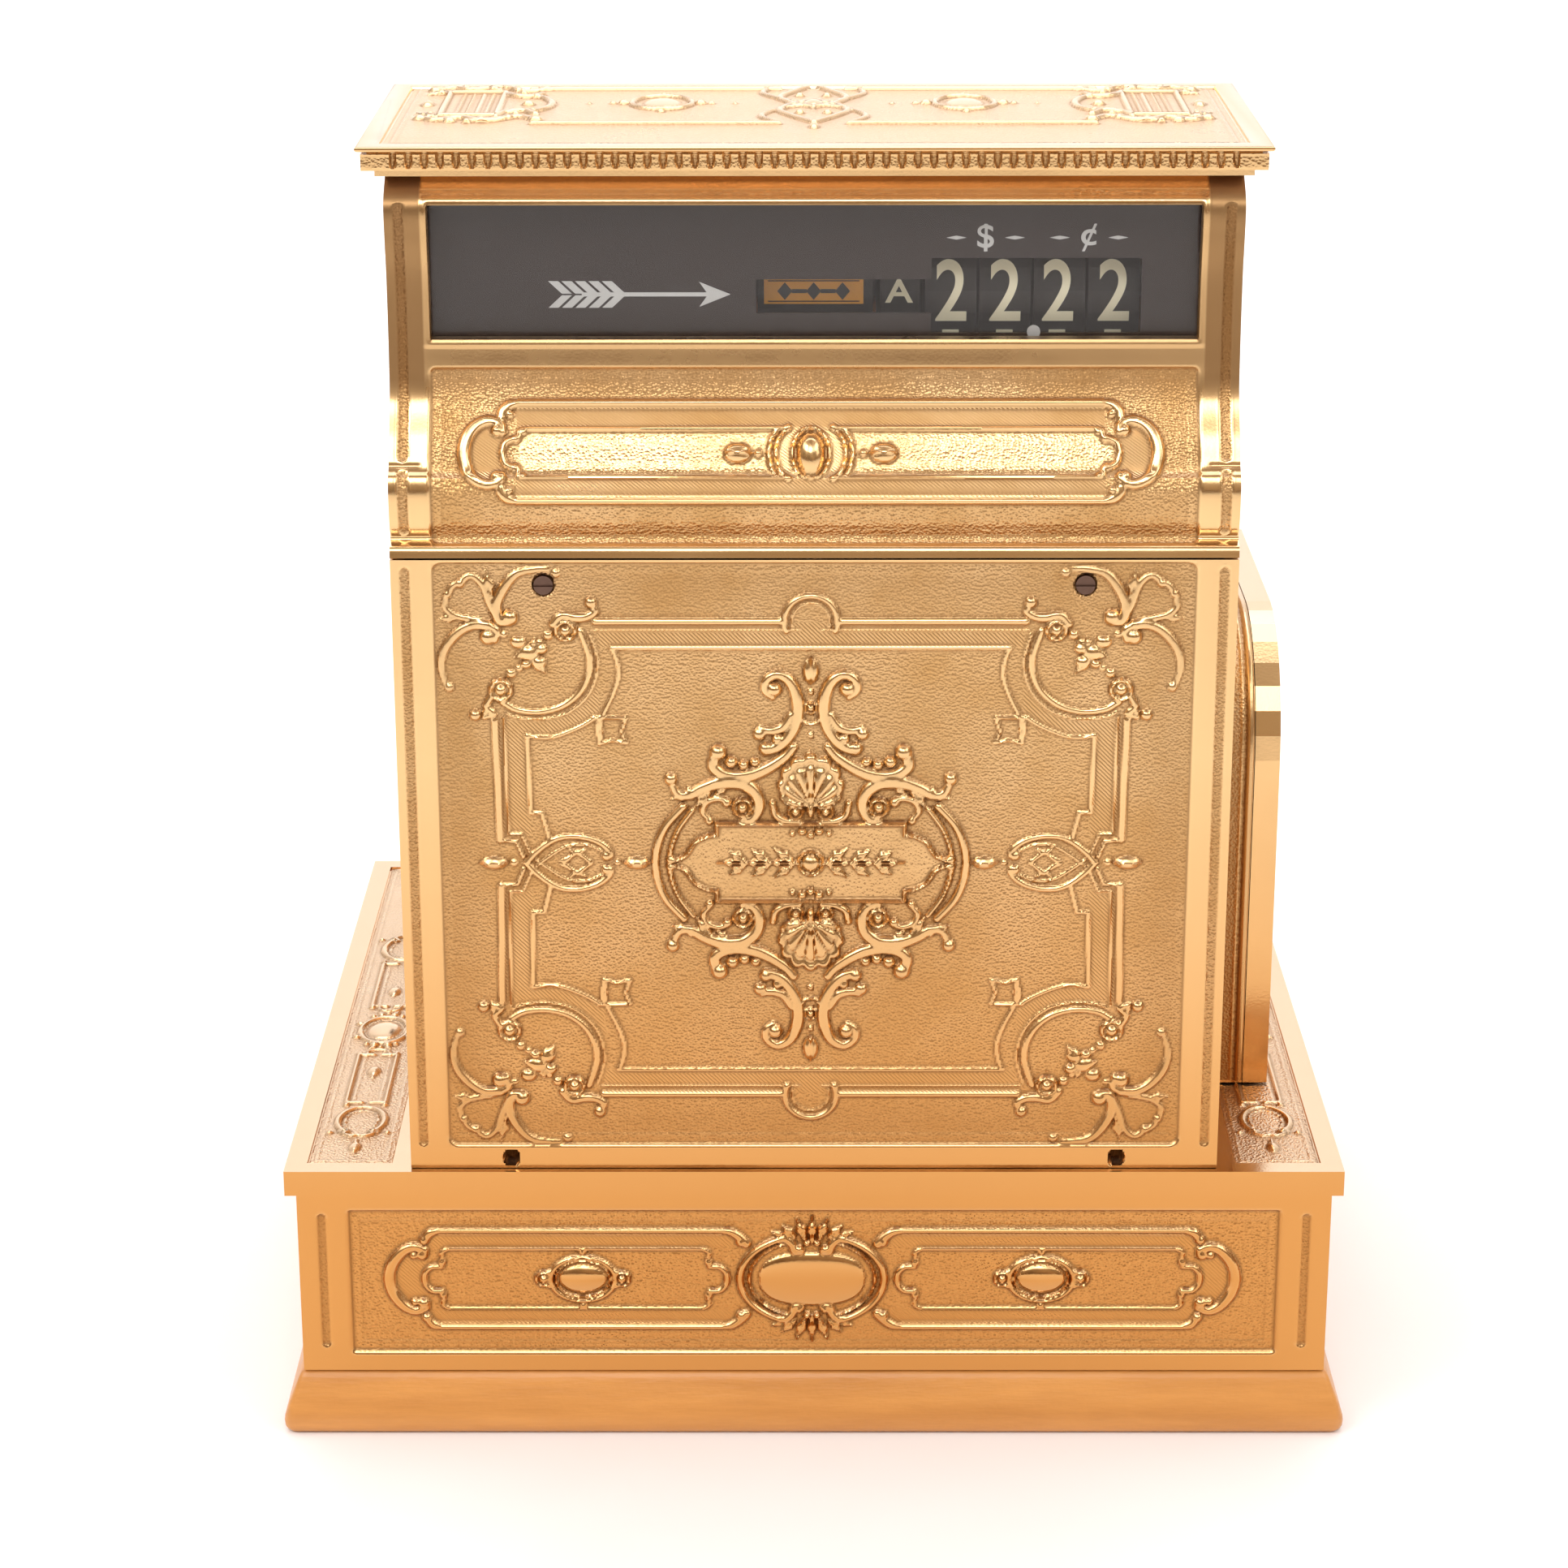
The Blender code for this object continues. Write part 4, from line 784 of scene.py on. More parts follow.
def upper_relief():
    """Curved panel, window frame and fluted stiles, wrapped onto the face profile."""
    points = through(FACE_PROFILE, 0.7)
    along, tangent = lengths(points)
    quarter = Relief(spaced(0, PANEL_X, 0.8), spaced(0, 42.4, 0.8))
    long_cartouche(quarter)
    whole = quarter.mirrored(1, 0)
    whole.zs = whole.zs + CURVED_MID
    full = whole.bordered(spaced(0, whole.zs[0], 0.9)[:-1], spaced(whole.zs[-1], along[-1], 0.9)[1:],
                          CABINET_X, -2)
    gx, gs = full.grid()
    frame_rise(full, gx, gs, PANEL_X, (8.4, 91.4), FRAME_LIFT, 3.0)
    for s_range in ((13.0, 44.6), (48.4, 166.0)):
        flute(full, np.abs(gx), gs, (181.2, 186.2), s_range)
    full.h -= 0.5 * np.exp(-((gs - 46.5) / 0.7) ** 2) * (np.abs(gx) > 176)
    gz = np.interp(gs, along, points[:, 1])
    # painted shade: darker from 498 mm up, strongly on the stiles beside the window, lightly round the
    # window and barely at its head
    full.dark = smooth((gz - 498) / 14) * np.where(np.abs(gx) > 174, 0.7, np.where(gz > 590, 0.05, 0.3))
    # partly real polish, partly a painted highlight: the cartouche's middle and the ground round it made
    # smoother and brighter in tone
    inside = smooth((13.4 - np.abs(gs - CURVED_MID)) / 2.6) * smooth((137.0 - np.abs(gx)) / 6)
    full.shine = np.maximum(full.shine, 0.62 * inside)
    near = np.maximum(np.abs(gx) - WINDOW_X, np.maximum(WINDOW_Z[0] - gz, gz - WINDOW_Z[1]))
    full.h += 0.7 * dome((near - 1.6) / 1.5, 1)
    centre_x, centre_s = (full.xs[1:] + full.xs[:-1]) / 2, (full.zs[1:] + full.zs[:-1]) / 2
    mid_z = np.interp(centre_s, along, points[:, 1])
    inside_z = (mid_z > WINDOW_Z[0]) & (mid_z < WINDOW_Z[1])
    keep = ~((np.abs(centre_x)[None, :] < WINDOW_X) & inside_z[:, None])

    def back(x, s):
        y, z = np.interp(s, along, points[:, 0]), np.interp(s, along, points[:, 1])
        return np.stack([x, y + 7.0 - MID_Y, z], 1) * MM
    add_cast("upper_casting_relief", full, wrapped_face(points, along, tangent, -FRAME_LIFT), back,
             ("upper_rear_casting",), keep)


# ---- drawer case -------------------------------------------------------------------------------
CASE_MID_Z = 78.2


def oval_medallion(r, x, z, wide, high):
    """Domed oval in a ring, with rosettes at its ends and beads above and below."""
    r.bead(x, z, wide * 0.74, 2.3, high * 0.66)
    for scale, thick in ((1.0, 1.5), (0.84, 0.7)):
        r.stroke(arc(scale * wide, scale * high, 0, ROUND, 33, x, z), thick, 1.3 + 0.3 * thick)
    for side in (-1, 1):
        r.spiral(x + side * (wide + 3.2), z, 4.4, 2.2)
        r.beads((x + side * (wide + 0.6), z + 3.6, 1.4, 1.9), (x + side * (wide + 0.6), z - 3.6, 1.4, 1.9),
                (x, z + side * (high + 2.6), 1.8, 1.6))


def case_cartouche(r):
    """Quadrant of the case panel's ornament, in distances from its middle."""
    r.rails((1.7, 1.7, [(177.5, 25.4), (43, 25.4)]), (0.5, 0.5, [(177.5, 23.4), (43, 23.4)]),
            (1.0, 1.1, [(173.8, 15.6), (51.6, 15.6)]))
    r.strokes(0.2, ((1.6, 2.4, 2.6), (1.7, 2.2, 2.2), [(43, 25.4), (38, 24.4), (33.4, 20.8), (31.4, 18.4)]),
              ((1.6, 2.4, 2.2), (1.7, 2.2, 2.0), [(177.5, 25.4), (181.4, 24.2), (184.4, 20.6)]),
              ((2.2, 2.4, 2.0), (2.2, 2.5, 2.3),
               [(16, 20.6), (12.4, 21), (9.4, 18), (8, 14.4), (5.2, 14.8)]))
    r.stroke([(201.8, -3), (201.4, 3), (199.2, 9), (194.6, 14.6), (189.4, 16.8), (184.8, 15)],
             (3.2, 3.0, 2.4), (2.3, 2.5, 2.3), groove=0.35)
    for sign, x in ((1, 173.8), (-1, 51.6)):
        r.stroke([(x, 15.6), (x + sign * 2.6, 13.6), (x + sign * 2, 10)], 1.2, 1.3)
        r.bead(x + sign * 2.4, 8.6, 2.0, 1.8)
        r.stroke([(x + sign * 3, 6.4), (x + sign * 7.6, 6.2), (x + sign * 10.6, 3), (x + sign * 11.2, -1)],
                 1.6, 1.7)
    oval_medallion(r, 109.3, 0, 15.4, 11.4)
    for scale, thick in ((1.0, 1.9), (0.87, 0.8)):
        r.stroke(arc(34.4 * scale, 23.6 * scale, -0.1, 1.12, 12), thick, 1.5 + 0.4 * thick)
    gx, gz = r.grid()
    q = (gx / 25.2) ** 2.6 + (gz / 14.2) ** 2.4
    r.raise_to(..., 2.6 * np.clip(1 - q, 0, 1) ** 0.45)
    r.leaves((0, 19, 0, 33.4, 2.4, 3.0, 2), (3, 20, 7.6, 32.4, 2.6, 2.6, 2),
             (8, 21.4, 14.6, 28.6, 2.8, 2.4, 2), (12, 22.6, 20, 24.6, 2.0, 2.0, 2))
    r.beads((33.6, 19.4, 2.7, 2.4), (184.4, 20.4, 2.6, 2.3), (185.6, 12.8, 3.0, 2.5),
            (189.8, 12.2, 2.0, 1.8), (6.2, 15.8, 2.3, 2.5), (2.4, 19, 1.8, 2.7))
    band = (gz > 16.4) & (gz < 23.6) & (gx < 182) & (gx > 38) | (gx > 184) & (gx < 198) & (gz < 14)
    r.hatch[band] = 1.0


def case_relief():
    """Front of the drawer case on the customer's side."""
    quarter = Relief(spaced(0, 221.3, 0.8), spaced(0, 36.6, 0.8))
    case_cartouche(quarter)
    whole = quarter.mirrored(1, 0)
    low = spaced(30.4 - CASE_MID_Z, whole.zs[0], 1.0)[:-1]
    full = whole.bordered(low, spaced(whole.zs[-1], 123.5 - CASE_MID_Z, 1.0)[1:], 245, -1, 1.0)
    gx, gz = np.meshgrid(full.xs, full.zs + CASE_MID_Z)
    frame_rise(full, gx, gz, 221.3, (39.6, 114.6), FRAME_LIFT, 1.5)
    flute(full, np.abs(gx), gz, (231.0, 236.0), (42.7, 113.0))
    add_cast("case_panel_relief", full, *flat_face(CASE_Y, CASE_MID_Z), replaces=("case_rear_panel",))


# ---- panels laid over plain CAD faces ------------------------------------------------------------
def settle(r, inside, drop=0.5):
    """Sinks the map below the face it lies on wherever inside falls under 1 mm."""
    sink_in = 1 - smooth((inside - 0.2) / 0.8)
    r.h = r.h * (1 - sink_in) - drop * sink_in
    r.shine = r.shine * (1 - sink_in)


def border_distance(r):
    """Distance to the nearest side of the map."""
    gx, gz = r.grid()
    return np.minimum(np.minimum(gx - r.xs[0], r.xs[-1] - gx), np.minimum(gz - r.zs[0], r.zs[-1] - gz))


def laid_panel(name, r, body, origin, right, up, out, keep=None):
    """Turns a map into a closed plate on a face; origin and directions are in millimetres."""
    origin, right, up, out = (np.array(v, float) for v in (origin, right, up, out))

    def place(x, z, h):
        points = origin + x[:, None] * right + z[:, None] * up + h[:, None] * out
        return (points - (0, MID_Y, 0)) * MM

    def back(x, z):
        return place(x, z, np.full_like(x, -0.9))
    add_piece(relief_mesh(name, r, place, keep, back), body, BRASS)


def framed_panel(name, r, margin, line, lift, *face, ground=GROUND_LIFT):
    """Lays a map on a face, with its ground raised a little and a moulding line along its border."""
    r.raise_to(..., ground)
    edge = border_distance(r)
    r.ridge(edge, margin, line, lift)
    settle(r, edge)
    laid_panel(name, r, *face)


LID_MID_Y = 174.1              # middle of a strip beside the lid


def side_name(side):
    """left or right, for -1 or 1 along x."""
    return "left" if side < 0 else "right"


def lid_strip(side):
    """Ornamental strip sunk in the lid beside the cabinet."""
    r = Relief(spaced(-20.4, 20.4, 0.8), spaced(0, 242, 0.8))
    r.strokes(0.2, (1.7, 1.8, arc(12.2, 17, 0, math.pi, 22)))
    r.strokes(0, (0.6, 0.9, arc(9.9, 14, 0, math.pi, 22)), (0.5, 2.2, [(0, 47), (0, 61)]),
              (1.2, 1.4, [(-6, 33), (-4.6, 27.4), (0, 25.6), (4.6, 27.4), (6, 33)]),
              (0.6, 2.1, [(0, 136), (0, 150)]))
    r.beads((0, 0, 8.6, 2.0, 12.2), (0, 53, 3.2, 1.9, 6.4), (0, 22.2, 1.5, 1.6), (0, 144.6, 3.0, 1.9, 5.8))
    for x in (-1, 1):
        r.beads((x * 13.4, 9, 2.2, 1.8), (x * 3.4, 19.4, 2.6, 2.2), (x * 7.4, 18.2, 1.8, 1.8),
                (x * 9.4, 30.6, 1.8, 1.7), (x * 9.4, 94.6, 1.8, 1.7), (x * 14, 127.6, 1.9, 1.6))
        r.leaf(x * 2, 20, x * 6, 25.4, 1.8, 1.8, 2)
        r.rails((1.4, 1.5, [(x * 2, 32.2), (x * 9.6, 32.2), (x * 9.6, 92), (x * 2, 92)]),
                (0.6, 0.8, [(x * 6.4, 35.4), (x * 6.4, 89)]))
        r.stroke([(0, 97.4), (x * 5, 99), (x * 9.4, 104.6), (x * 11.4, 113), (x * 10, 121.6),
                  (x * 6.4, 127.6)],
                 (1.4, 1.9, 1.6), (1.5, 1.9, 1.7), groove=0.2)
        r.stroke([(0, 101), (x * 5.6, 104), (x * 8, 112), (x * 6.8, 120)], 0.7, 0.9)
        r.spiral(x * 7.2, 126.4, 3.0, 2.0)
        r.stroke([(x * 7, 129.6), (x * 3, 132), (0, 130.4)], 1.4, 1.6)
    whole = r.mirrored(0)
    whole = whole.part(whole.zs > 10.6 - LID_MID_Y, slice(None))
    framed_panel(f"lid_strip_{side_name(side)}", whole, 3.6, 0.7, 0.6, "cabinet",
                 (side * 219.5, LID_MID_Y, 135.1), (1, 0, 0), (0, 1, 0), (0, 0, 1))


def top_relief():
    """Ornamented panel sunk in the top cover: knots, ovals beside them and trophies at the ends."""
    r = Relief(spaced(0, 191.4, 0.85), spaced(38.0, 194.6, 0.85))
    mid, oval = 147.0, 70.6
    for z, end in ((93, 128), (190, 134)):
        r.rails((1.8, 1.8, [(16, z), (end, z)]), (0.8, 0.8, [(18, z + 5), (end - 4, z + 5)]))
    for tilt in (-1, 1):
        r.strokes(0.2, (2.0, 2.0, [(0, mid - tilt * 52), (9, mid - tilt * 36), (15.6, mid - tilt * 18),
                                   (9, mid), (0, mid + tilt * 10), (-2, mid + tilt * 14)]),
                  (1.6, 1.8, [(16, mid - tilt * 54), (24, mid - tilt * 34), (17, mid - tilt * 16),
                              (8, mid - tilt * 6), (0, mid)]))
        r.beads((6.4, mid - tilt * 24, 2.4, 2.0), (0, mid - tilt * 62, 2.6, 2.2, 5.0))
    r.stroke(arc(14, 19, 0, ROUND, 33, oval, mid + 3), 1.6, 1.8)
    for side in (-1, 1):
        r.beads((oval + side * 18, mid + 3, 3.0, 2.2), (oval + side * 23, mid + 3, 1.8, 1.6),
                (oval + side * 34, mid + 3, 1.3, 1.2), (oval, mid + 3 + side * 23, 2.0, 1.8))
    r.rail([(146, 116), (172, 116), (172, 180), (146, 180), (146, 116)], 1.5, 1.8)
    for x in (151, 155.5, 160, 164.5):
        r.rail([(x, 121), (x, 175)], 0.9, 1.2)
    for sign in (-1, 1):
        z = mid + sign * 34
        r.strokes(0.2, ((2.0, 2.6, 2.0), (2.0, 2.6, 2.0),
                        [(128, z + sign * 8), (136, z + sign * 2), (144, z + sign * 10),
                         (152, z + sign * 14), (162, z + sign * 6), (172, z + sign * 12),
                         (180, z + sign * 4)]),
                  ((2.0, 2.4, 1.6), (2.0, 2.4, 1.8),
                   [(128, z - sign * 6), (134, z - sign * 14), (142, z - sign * 10), (146, z)]))
        for x, dz, size in ((127, 9, 3.6), (140, 5, 2.8), (152, 9, 3.0), (166, 13, 3.2), (180, 6, 3.4),
                            (176, -4, 2.4), (130, -14, 2.6), (137, -4, 2.2), (158, 16, 2.2)):
            r.bead(x, z + sign * dz, size, 2.4)
        r.leaves((148, z + sign * 6, 160, z + sign * 17, 3.4, 2.4, 3),
                 (172, z + sign * 3, 183, z - sign * 8, 3.0, 2.2, 3))
    r.stroke([(130, mid - 22), (124, mid - 12), (122, mid), (124, mid + 12), (130, mid + 22)], 2.0, 2.0,
             groove=0.2)
    r.beads((0, mid, 5.0, 2.6, 8.0), (11, mid, 2.4, 2.0), (oval, mid + 3, 9.0, 2.0, 13.0),
            (133, mid, 3.4, 2.4), (180, mid, 3.2, 2.2, 6.0))
    framed_panel("top_panel_relief", r.mirrored(1), 4.4, 0.8, 0.6, "cabinet", (0, 0, 614.0), (1, 0, 0),
                 (0, 1, 0), (0, 0, 1), ground=0.12)


def scroll_corner(r, x, z, sx, sz, size=1.0):
    """A leaf scroll filling a corner, opening towards +sx, +sz."""
    def spots(*points):
        return [(x + sx * a * size, z + sz * b * size) for a, b in points]
    r.strokes(0.3, ((1.4, 2.6, 1.4), (1.2, 2.2, 1.2),
                    spots((4, 30), (3, 18), (6, 8), (14, 4), (26, 3), (32, 5))),
              ((2.4, 2.2, 1.6), (2.2, 2.2, 1.8), spots((6, 8), (13, 13), (19, 20), (18, 27), (12, 27))),
              ((2.0, 2.0, 1.6), (2.0, 2.0, 1.6), spots((13, 13), (21, 15), (27, 13), (28, 8))))
    for a, b, radius in ((4, 31, 2.8), (33, 5, 2.8), (11.4, 25, 2.6), (27, 9, 2.4), (9, 9, 3.0),
                         (20, 21, 2.2)):
        r.bead(*spots((a, b))[0], radius * size, 2.4)
    root, tip = spots((12, 12), (26, 26))
    r.leaf(*root, *tip, 3.4 * size, 2.2, 3)


def centred_panel(name, half_x, half_z, body, origin, right, up, out, step=0.9):
    """A panel with strapwork, corner scrolls and an oval medallion in its middle."""
    r = Relief(spaced(0, half_x, step), spaced(0, half_z, step))
    scroll_corner(r, half_x - 5, half_z - 5, -1, -1, min(1.0, half_z / 62))
    if half_z > 40:
        x, z, notch = half_x - 26, half_z - 20, 12.0
        r.rail([(0, z), (x - notch, z), (x - notch, z - notch), (x, z - notch), (x, 0)], 1.4, 1.4)
    else:
        r.rail([(half_x - 30, half_z - 10), (30, half_z - 10)], 1.4, 1.5)
        r.stroke([(half_x - 30, half_z - 10), (half_x - 24, half_z - 12), (half_x - 19, half_z - 20),
                  (half_x - 18, -1)], 1.8, 1.7, groove=0.2)
        r.stroke([(30, half_z - 10), (25, half_z - 13), (22, 0)], 1.6, 1.6)
    oval_medallion(r, 0, 0, 15.0, 10.5)
    framed_panel(name, r.mirrored(1, 0), 3.6, 0.7, 0.7, body, origin, right, up, out)


SLOPE_DOWN, SLOPE_OUT = (0.64549, -0.76397), (0.76397, 0.64549)      # (y, z) along and out of the keyboard
SLOPE_TOP = (193.0, 515.0)


def slope_point(s, h):
    """(y, z) of a point down the keyboard slope."""
    return tuple(top + s * down + h * out for top, down, out in zip(SLOPE_TOP, SLOPE_DOWN, SLOPE_OUT))


def operator_panels():
    """Reliefs on the drawer front, below and on the keyboard, and on the sides of the case."""
    for name, half_x, half_z, body, y, z in (("front_panel_relief", 159.4, 47.0, "cabinet", 403.5, 202.5),
                                             ("drawer_front_relief", 205.4, 31.0, "drawer", 411.8, 76.5)):
        centred_panel(name, half_x, half_z, body, (0, y, z), (-1, 0, 0), (0, 0, 1), (0, 1, 0))
    for side in (-1, 1):
        centred_panel(f"case_side_relief_{side_name(side)}", 176.6, 37.0, "cabinet",
                      (side * 243.8, 211.2, 77.0), (0, side, 0), (0, 0, 1), (side, 0, 0), 1.0)
    for name, x, half, half_s in (("far_left", -166, 21, 146), ("middle", -96, 17, 130),
                                  ("right", 159, 27, 146)):
        r = Relief(spaced(0, half, 0.9), spaced(0, half_s, 0.9))
        scroll_corner(r, half - 3, half_s - 3, -1, -1, 0.5)
        r.rail([(half - 6, 0), (half - 6, half_s - 24), (2, half_s - 18)], 1.0, 1.1)
        oval_medallion(r, 0, 34, 7.0, 9.0)
        r.beads((0, 64, 2.6, 1.8, 6.0), (0, 0, 5.0, 2.2, 9.0))
        framed_panel(f"keyboard_relief_{name}", r.mirrored(1, 0), 2.4, 0.6, 0.7, "cabinet",
                     (x, *slope_point(160, 0.0)), (-1, 0, 0), (0, -SLOPE_DOWN[0], -SLOPE_DOWN[1]),
                     (0, *SLOPE_OUT))


def cell_middles(r):
    """Coordinates of the middle of every cell of the map."""
    gx, gz = r.grid()
    return (gx[1:, 1:] + gx[:-1, :-1]) / 2, (gz[1:, 1:] + gz[:-1, :-1]) / 2


def outlined_panel(name, r, inside, clear, lines, body, origin, out, keep, hole=None):
    """Lays a map whose outline is a distance field on a side; ornament starts clear of the outline."""
    r.h = r.h * (inside > clear)
    r.raise_to(..., GROUND_LIFT)
    for margin, wide, lift in lines:
        r.ridge(inside, margin, wide, lift)
    if hole is not None:
        r.ridge(hole, 8.6, 1.4, 1.2, 1)
        inside = np.minimum(inside, hole - 6.2)
    settle(r, inside)
    laid_panel(name, r, body, origin, (0, 1, 0), (0, 0, 1), out, keep)


def cabinet_inside(y, z, right_side):
    """Distance inside the ornamented part of a cabinet side, in millimetres."""
    slope = (207.0 * (SLOPE_TOP[1] - z) - 245.0 * (y - SLOPE_TOP[0])) / 320.7
    lower = np.minimum.reduce([y - 22, 392 - y, z - 146, slope])
    upper = np.minimum.reduce([y - 52, 180 - y, 590 - z, z - 400])
    inside = np.maximum(np.minimum(lower, 470 - z), upper)
    if right_side:
        inside = np.minimum(inside, np.maximum(np.maximum(100 - y, y - 308), z - 372))
    return inside


def side_relief(side):
    """Frame moulding, plain ground and scrolls on a side of the cabinet."""
    r = Relief(spaced(18, 396, 1.0), spaced(142, 594, 1.0))
    for y, z, sy, sz, size in ((40, 164, 1, 1, 1.2), (40, 452, 1, -1, 1.2), (374, 164, -1, 1, 1.2),
                               (62, 580, 1, -1, 0.9), (170, 580, -1, -1, 0.9)):
        scroll_corner(r, y, z, sy, sz, size)
    if side < 0:
        oval_medallion(r, 150, 300, 30, 42)
        for sign in (-1, 1):
            r.shell(150, 300 + 70 * sign, 22, 24, 2.6, sign=sign)
        r.stroke(arc(26, 26, 0, ROUND, 40, 310, 250), 1.8, 1.8)
    else:
        oval_medallion(r, 165, 425, 22, 15)
    outlined_panel(f"side_relief_{side_name(side)}", r, cabinet_inside(*r.grid(), side > 0), 9,
                   ((4.0, 2.2, 1.6), (9.0, 0.8, 0.8)), "cabinet", (side * CABINET_X, 0, 0), (side, 0, 0),
                   cabinet_inside(*cell_middles(r), side > 0) > -1.0)


BOX_Y, BOX_Z, BOX_ROUND = (105.0, 300.0), (136.6, 367.0), 62.0


def panel_inside(y, z):
    """Distance inside the door panel, which keeps 12 mm from the printer box's outline."""
    corner_y, corner_z = BOX_Y[0] + BOX_ROUND, BOX_Z[1] - BOX_ROUND
    straight = np.minimum.reduce([y - BOX_Y[0], BOX_Y[1] - y, z - BOX_Z[0], BOX_Z[1] - z])
    rounded = BOX_ROUND - np.hypot(y - corner_y, z - corner_z)
    return np.where((y < corner_y) & (z > corner_z), rounded, straight) - 12.0


def printer_door_relief():
    """Door panel with frame lines and scrolls, and a hole for the lock."""
    r = Relief(spaced(112, 293, 0.9), spaced(144, 360, 0.9))
    for y, z, sy, sz in ((278, 158, -1, 1), (132, 158, 1, 1), (278, 344, -1, -1)):
        scroll_corner(r, y, z, sy, sz, 0.8)
    for sign in (-1, 1):
        r.shell(206, 253 + 9 * sign, 20, 22, 2.4, sign=sign)
    oval_medallion(r, 206, 253, 24, 12)
    gy, gz = r.grid()
    outlined_panel("printer_door_relief", r, panel_inside(gy, gz), 7, ((4.0, 0.8, 0.9), (7.0, 0.8, 0.7)),
                   "printer_door", (223.4, 0, 0), (1, 0, 0), panel_inside(*cell_middles(r)) > -1.0,
                   np.hypot(gy - 128, gz - 240))


def printer_band_relief():
    """Mouldings round the printer box's rim, darker towards the cabinet."""
    corner_y, corner_z = BOX_Y[0] + BOX_ROUND, BOX_Z[1] - BOX_ROUND
    path = [(BOX_Y[0], 138.0)] + arc(-BOX_ROUND, BOX_ROUND, 0, math.pi / 2, 24, corner_y, corner_z)
    path = np.array(path + [(299.0, BOX_Z[1])])
    along, tangent = lengths(path)
    band = Relief(spaced(191.0, 212.4, 0.6), spaced(0, along[-1], 1.0))
    gx, gs = band.grid()
    band.ridge(gx, 210.6, 1.9, 1.5)
    band.ridge(gx, 206.6, 0.8, 0.7)
    shade = np.clip(1 - (gs - 190) / 60, 0.3, 1)
    band.dark = shade * (np.where(gx < 205.5, 0.42, 0.25) + 0.5 * np.exp(-((gx - 208.6) / 0.7) ** 2))
    place = wrapped_face(path, along, tangent, GROUND_LIFT)

    def back(x, s):
        return place(x, s, np.full_like(x, -1.2))
    add_cast("printer_band_relief", band, place, back)


# ---- cornice and base ----------------------------------------------------------------------------
def stacked(bm, loops):
    """Closes a stack of point loops with faces between them and a cap at each end."""
    rings = [[bm.verts.new(point) for point in loop] for loop in loops]
    for one, two in zip(rings, rings[1:]):
        for i in range(len(one)):
            j = (i + 1) % len(one)
            bm.faces.new((one[i], one[j], two[j], two[i]))
    bm.faces.new(rings[0])
    bm.faces.new(rings[-1])
    return bm


def solid(name, bm, angle=32):
    """An object from a bmesh, smooth except at sharp edges."""
    mesh = bpy.data.meshes.new(name)
    bm.to_mesh(mesh)
    bm.free()
    mesh.shade_smooth()
    mesh.set_sharp_from_angle(angle=math.radians(angle))
    return linked(name, mesh)


def swept(name, profile, half_x, y_range, corner=0.0, per_corner=1):
    """A moulding swept round a rectangle; profile lists (tuck, z) from the bottom up."""
    loops = []
    for tuck, z in profile:
        x, y0, y1 = half_x - tuck, y_range[0] + tuck, y_range[1] - tuck
        radius = max(corner - tuck * 0.3, 0.0)
        loop = []
        for sx, cy, sy, start in ((1, y0, -1, -90), (1, y1, 1, 0), (-1, y1, 1, 90), (-1, y0, -1, 180)):
            for turn in np.linspace(0, 90, per_corner):
                t = math.radians(start + turn)
                reach = (math.cos(t) - sx, math.sin(t) - sy)
                loop.append(Vector((sx * x + radius * reach[0], cy + radius * reach[1] - MID_Y, z)) * MM)
        loops.append(loop)
    bm = stacked(bmesh.new(), loops)
    bmesh.ops.recalc_face_normals(bm, faces=bm.faces)
    return solid(name, bm)


def dentil_row(name, origin, right, out, half, pitch=7.0):
    """A row of dentils: a moulding with arched gouges cut into it at an even pitch."""
    r = Relief(spaced(-half, half, 0.55), spaced(0, 7.3, 0.45))
    gx, gz = r.grid()
    phase = np.abs((gx / pitch) % 1.0 - 0.5) * pitch
    wide = 1.8 * np.clip((gz - 0.5) / 3.4, 0, 1) ** 0.6
    gouge = dome(phase / np.maximum(wide, 0.05), 0.5) * (gz > 0.9) * (np.abs(gx) < half - 13)
    r.h = 3.7 - 0.35 * np.clip(1.2 - gz, 0, 1) - 2.0 * gouge + 0.25 * (gz > 6.6)
    r.matt = 0.35 + 0.4 * gouge
    laid_panel(f"dentils_{name}", r, "cabinet", origin, right, (0, 0, 1), out)


def cornice():
    """Top cover: moulded cornice with a rounded edge, and a row of dentils under it on every side."""
    profile = [(7.8, 601.0), (7.8, 603.6), (6.9, 604.2), (6.6, 604.6), (6.5, 611.3), (5.0, 611.5),
               (4.8, 612.5), (1.0, 612.8), (0.3, 613.3), (0, 613.9), (0.1, 614.5), (0.5, 614.95),
               (1.0, 615.1), (1.8, 615.2), (9.4, 615.2), (9.9, 614.9), (10.3, 614.0)]
    add_piece(swept("cornice", profile, 201.8, (27.5, 205.0)), "cabinet", BRASS_PLAIN,
              replaces=("top_cover",))
    dentil_row("front", (0, 34.0, 604.2), (1, 0, 0), (0, -1, 0), 199.5)
    dentil_row("back", (0, 198.5, 604.2), (-1, 0, 0), (0, 1, 0), 199.5)
    for side in (-1, 1):
        dentil_row(side_name(side), (side * 195.3, 116.3, 604.2), (0, side, 0), (side, 0, 0), 83.0)


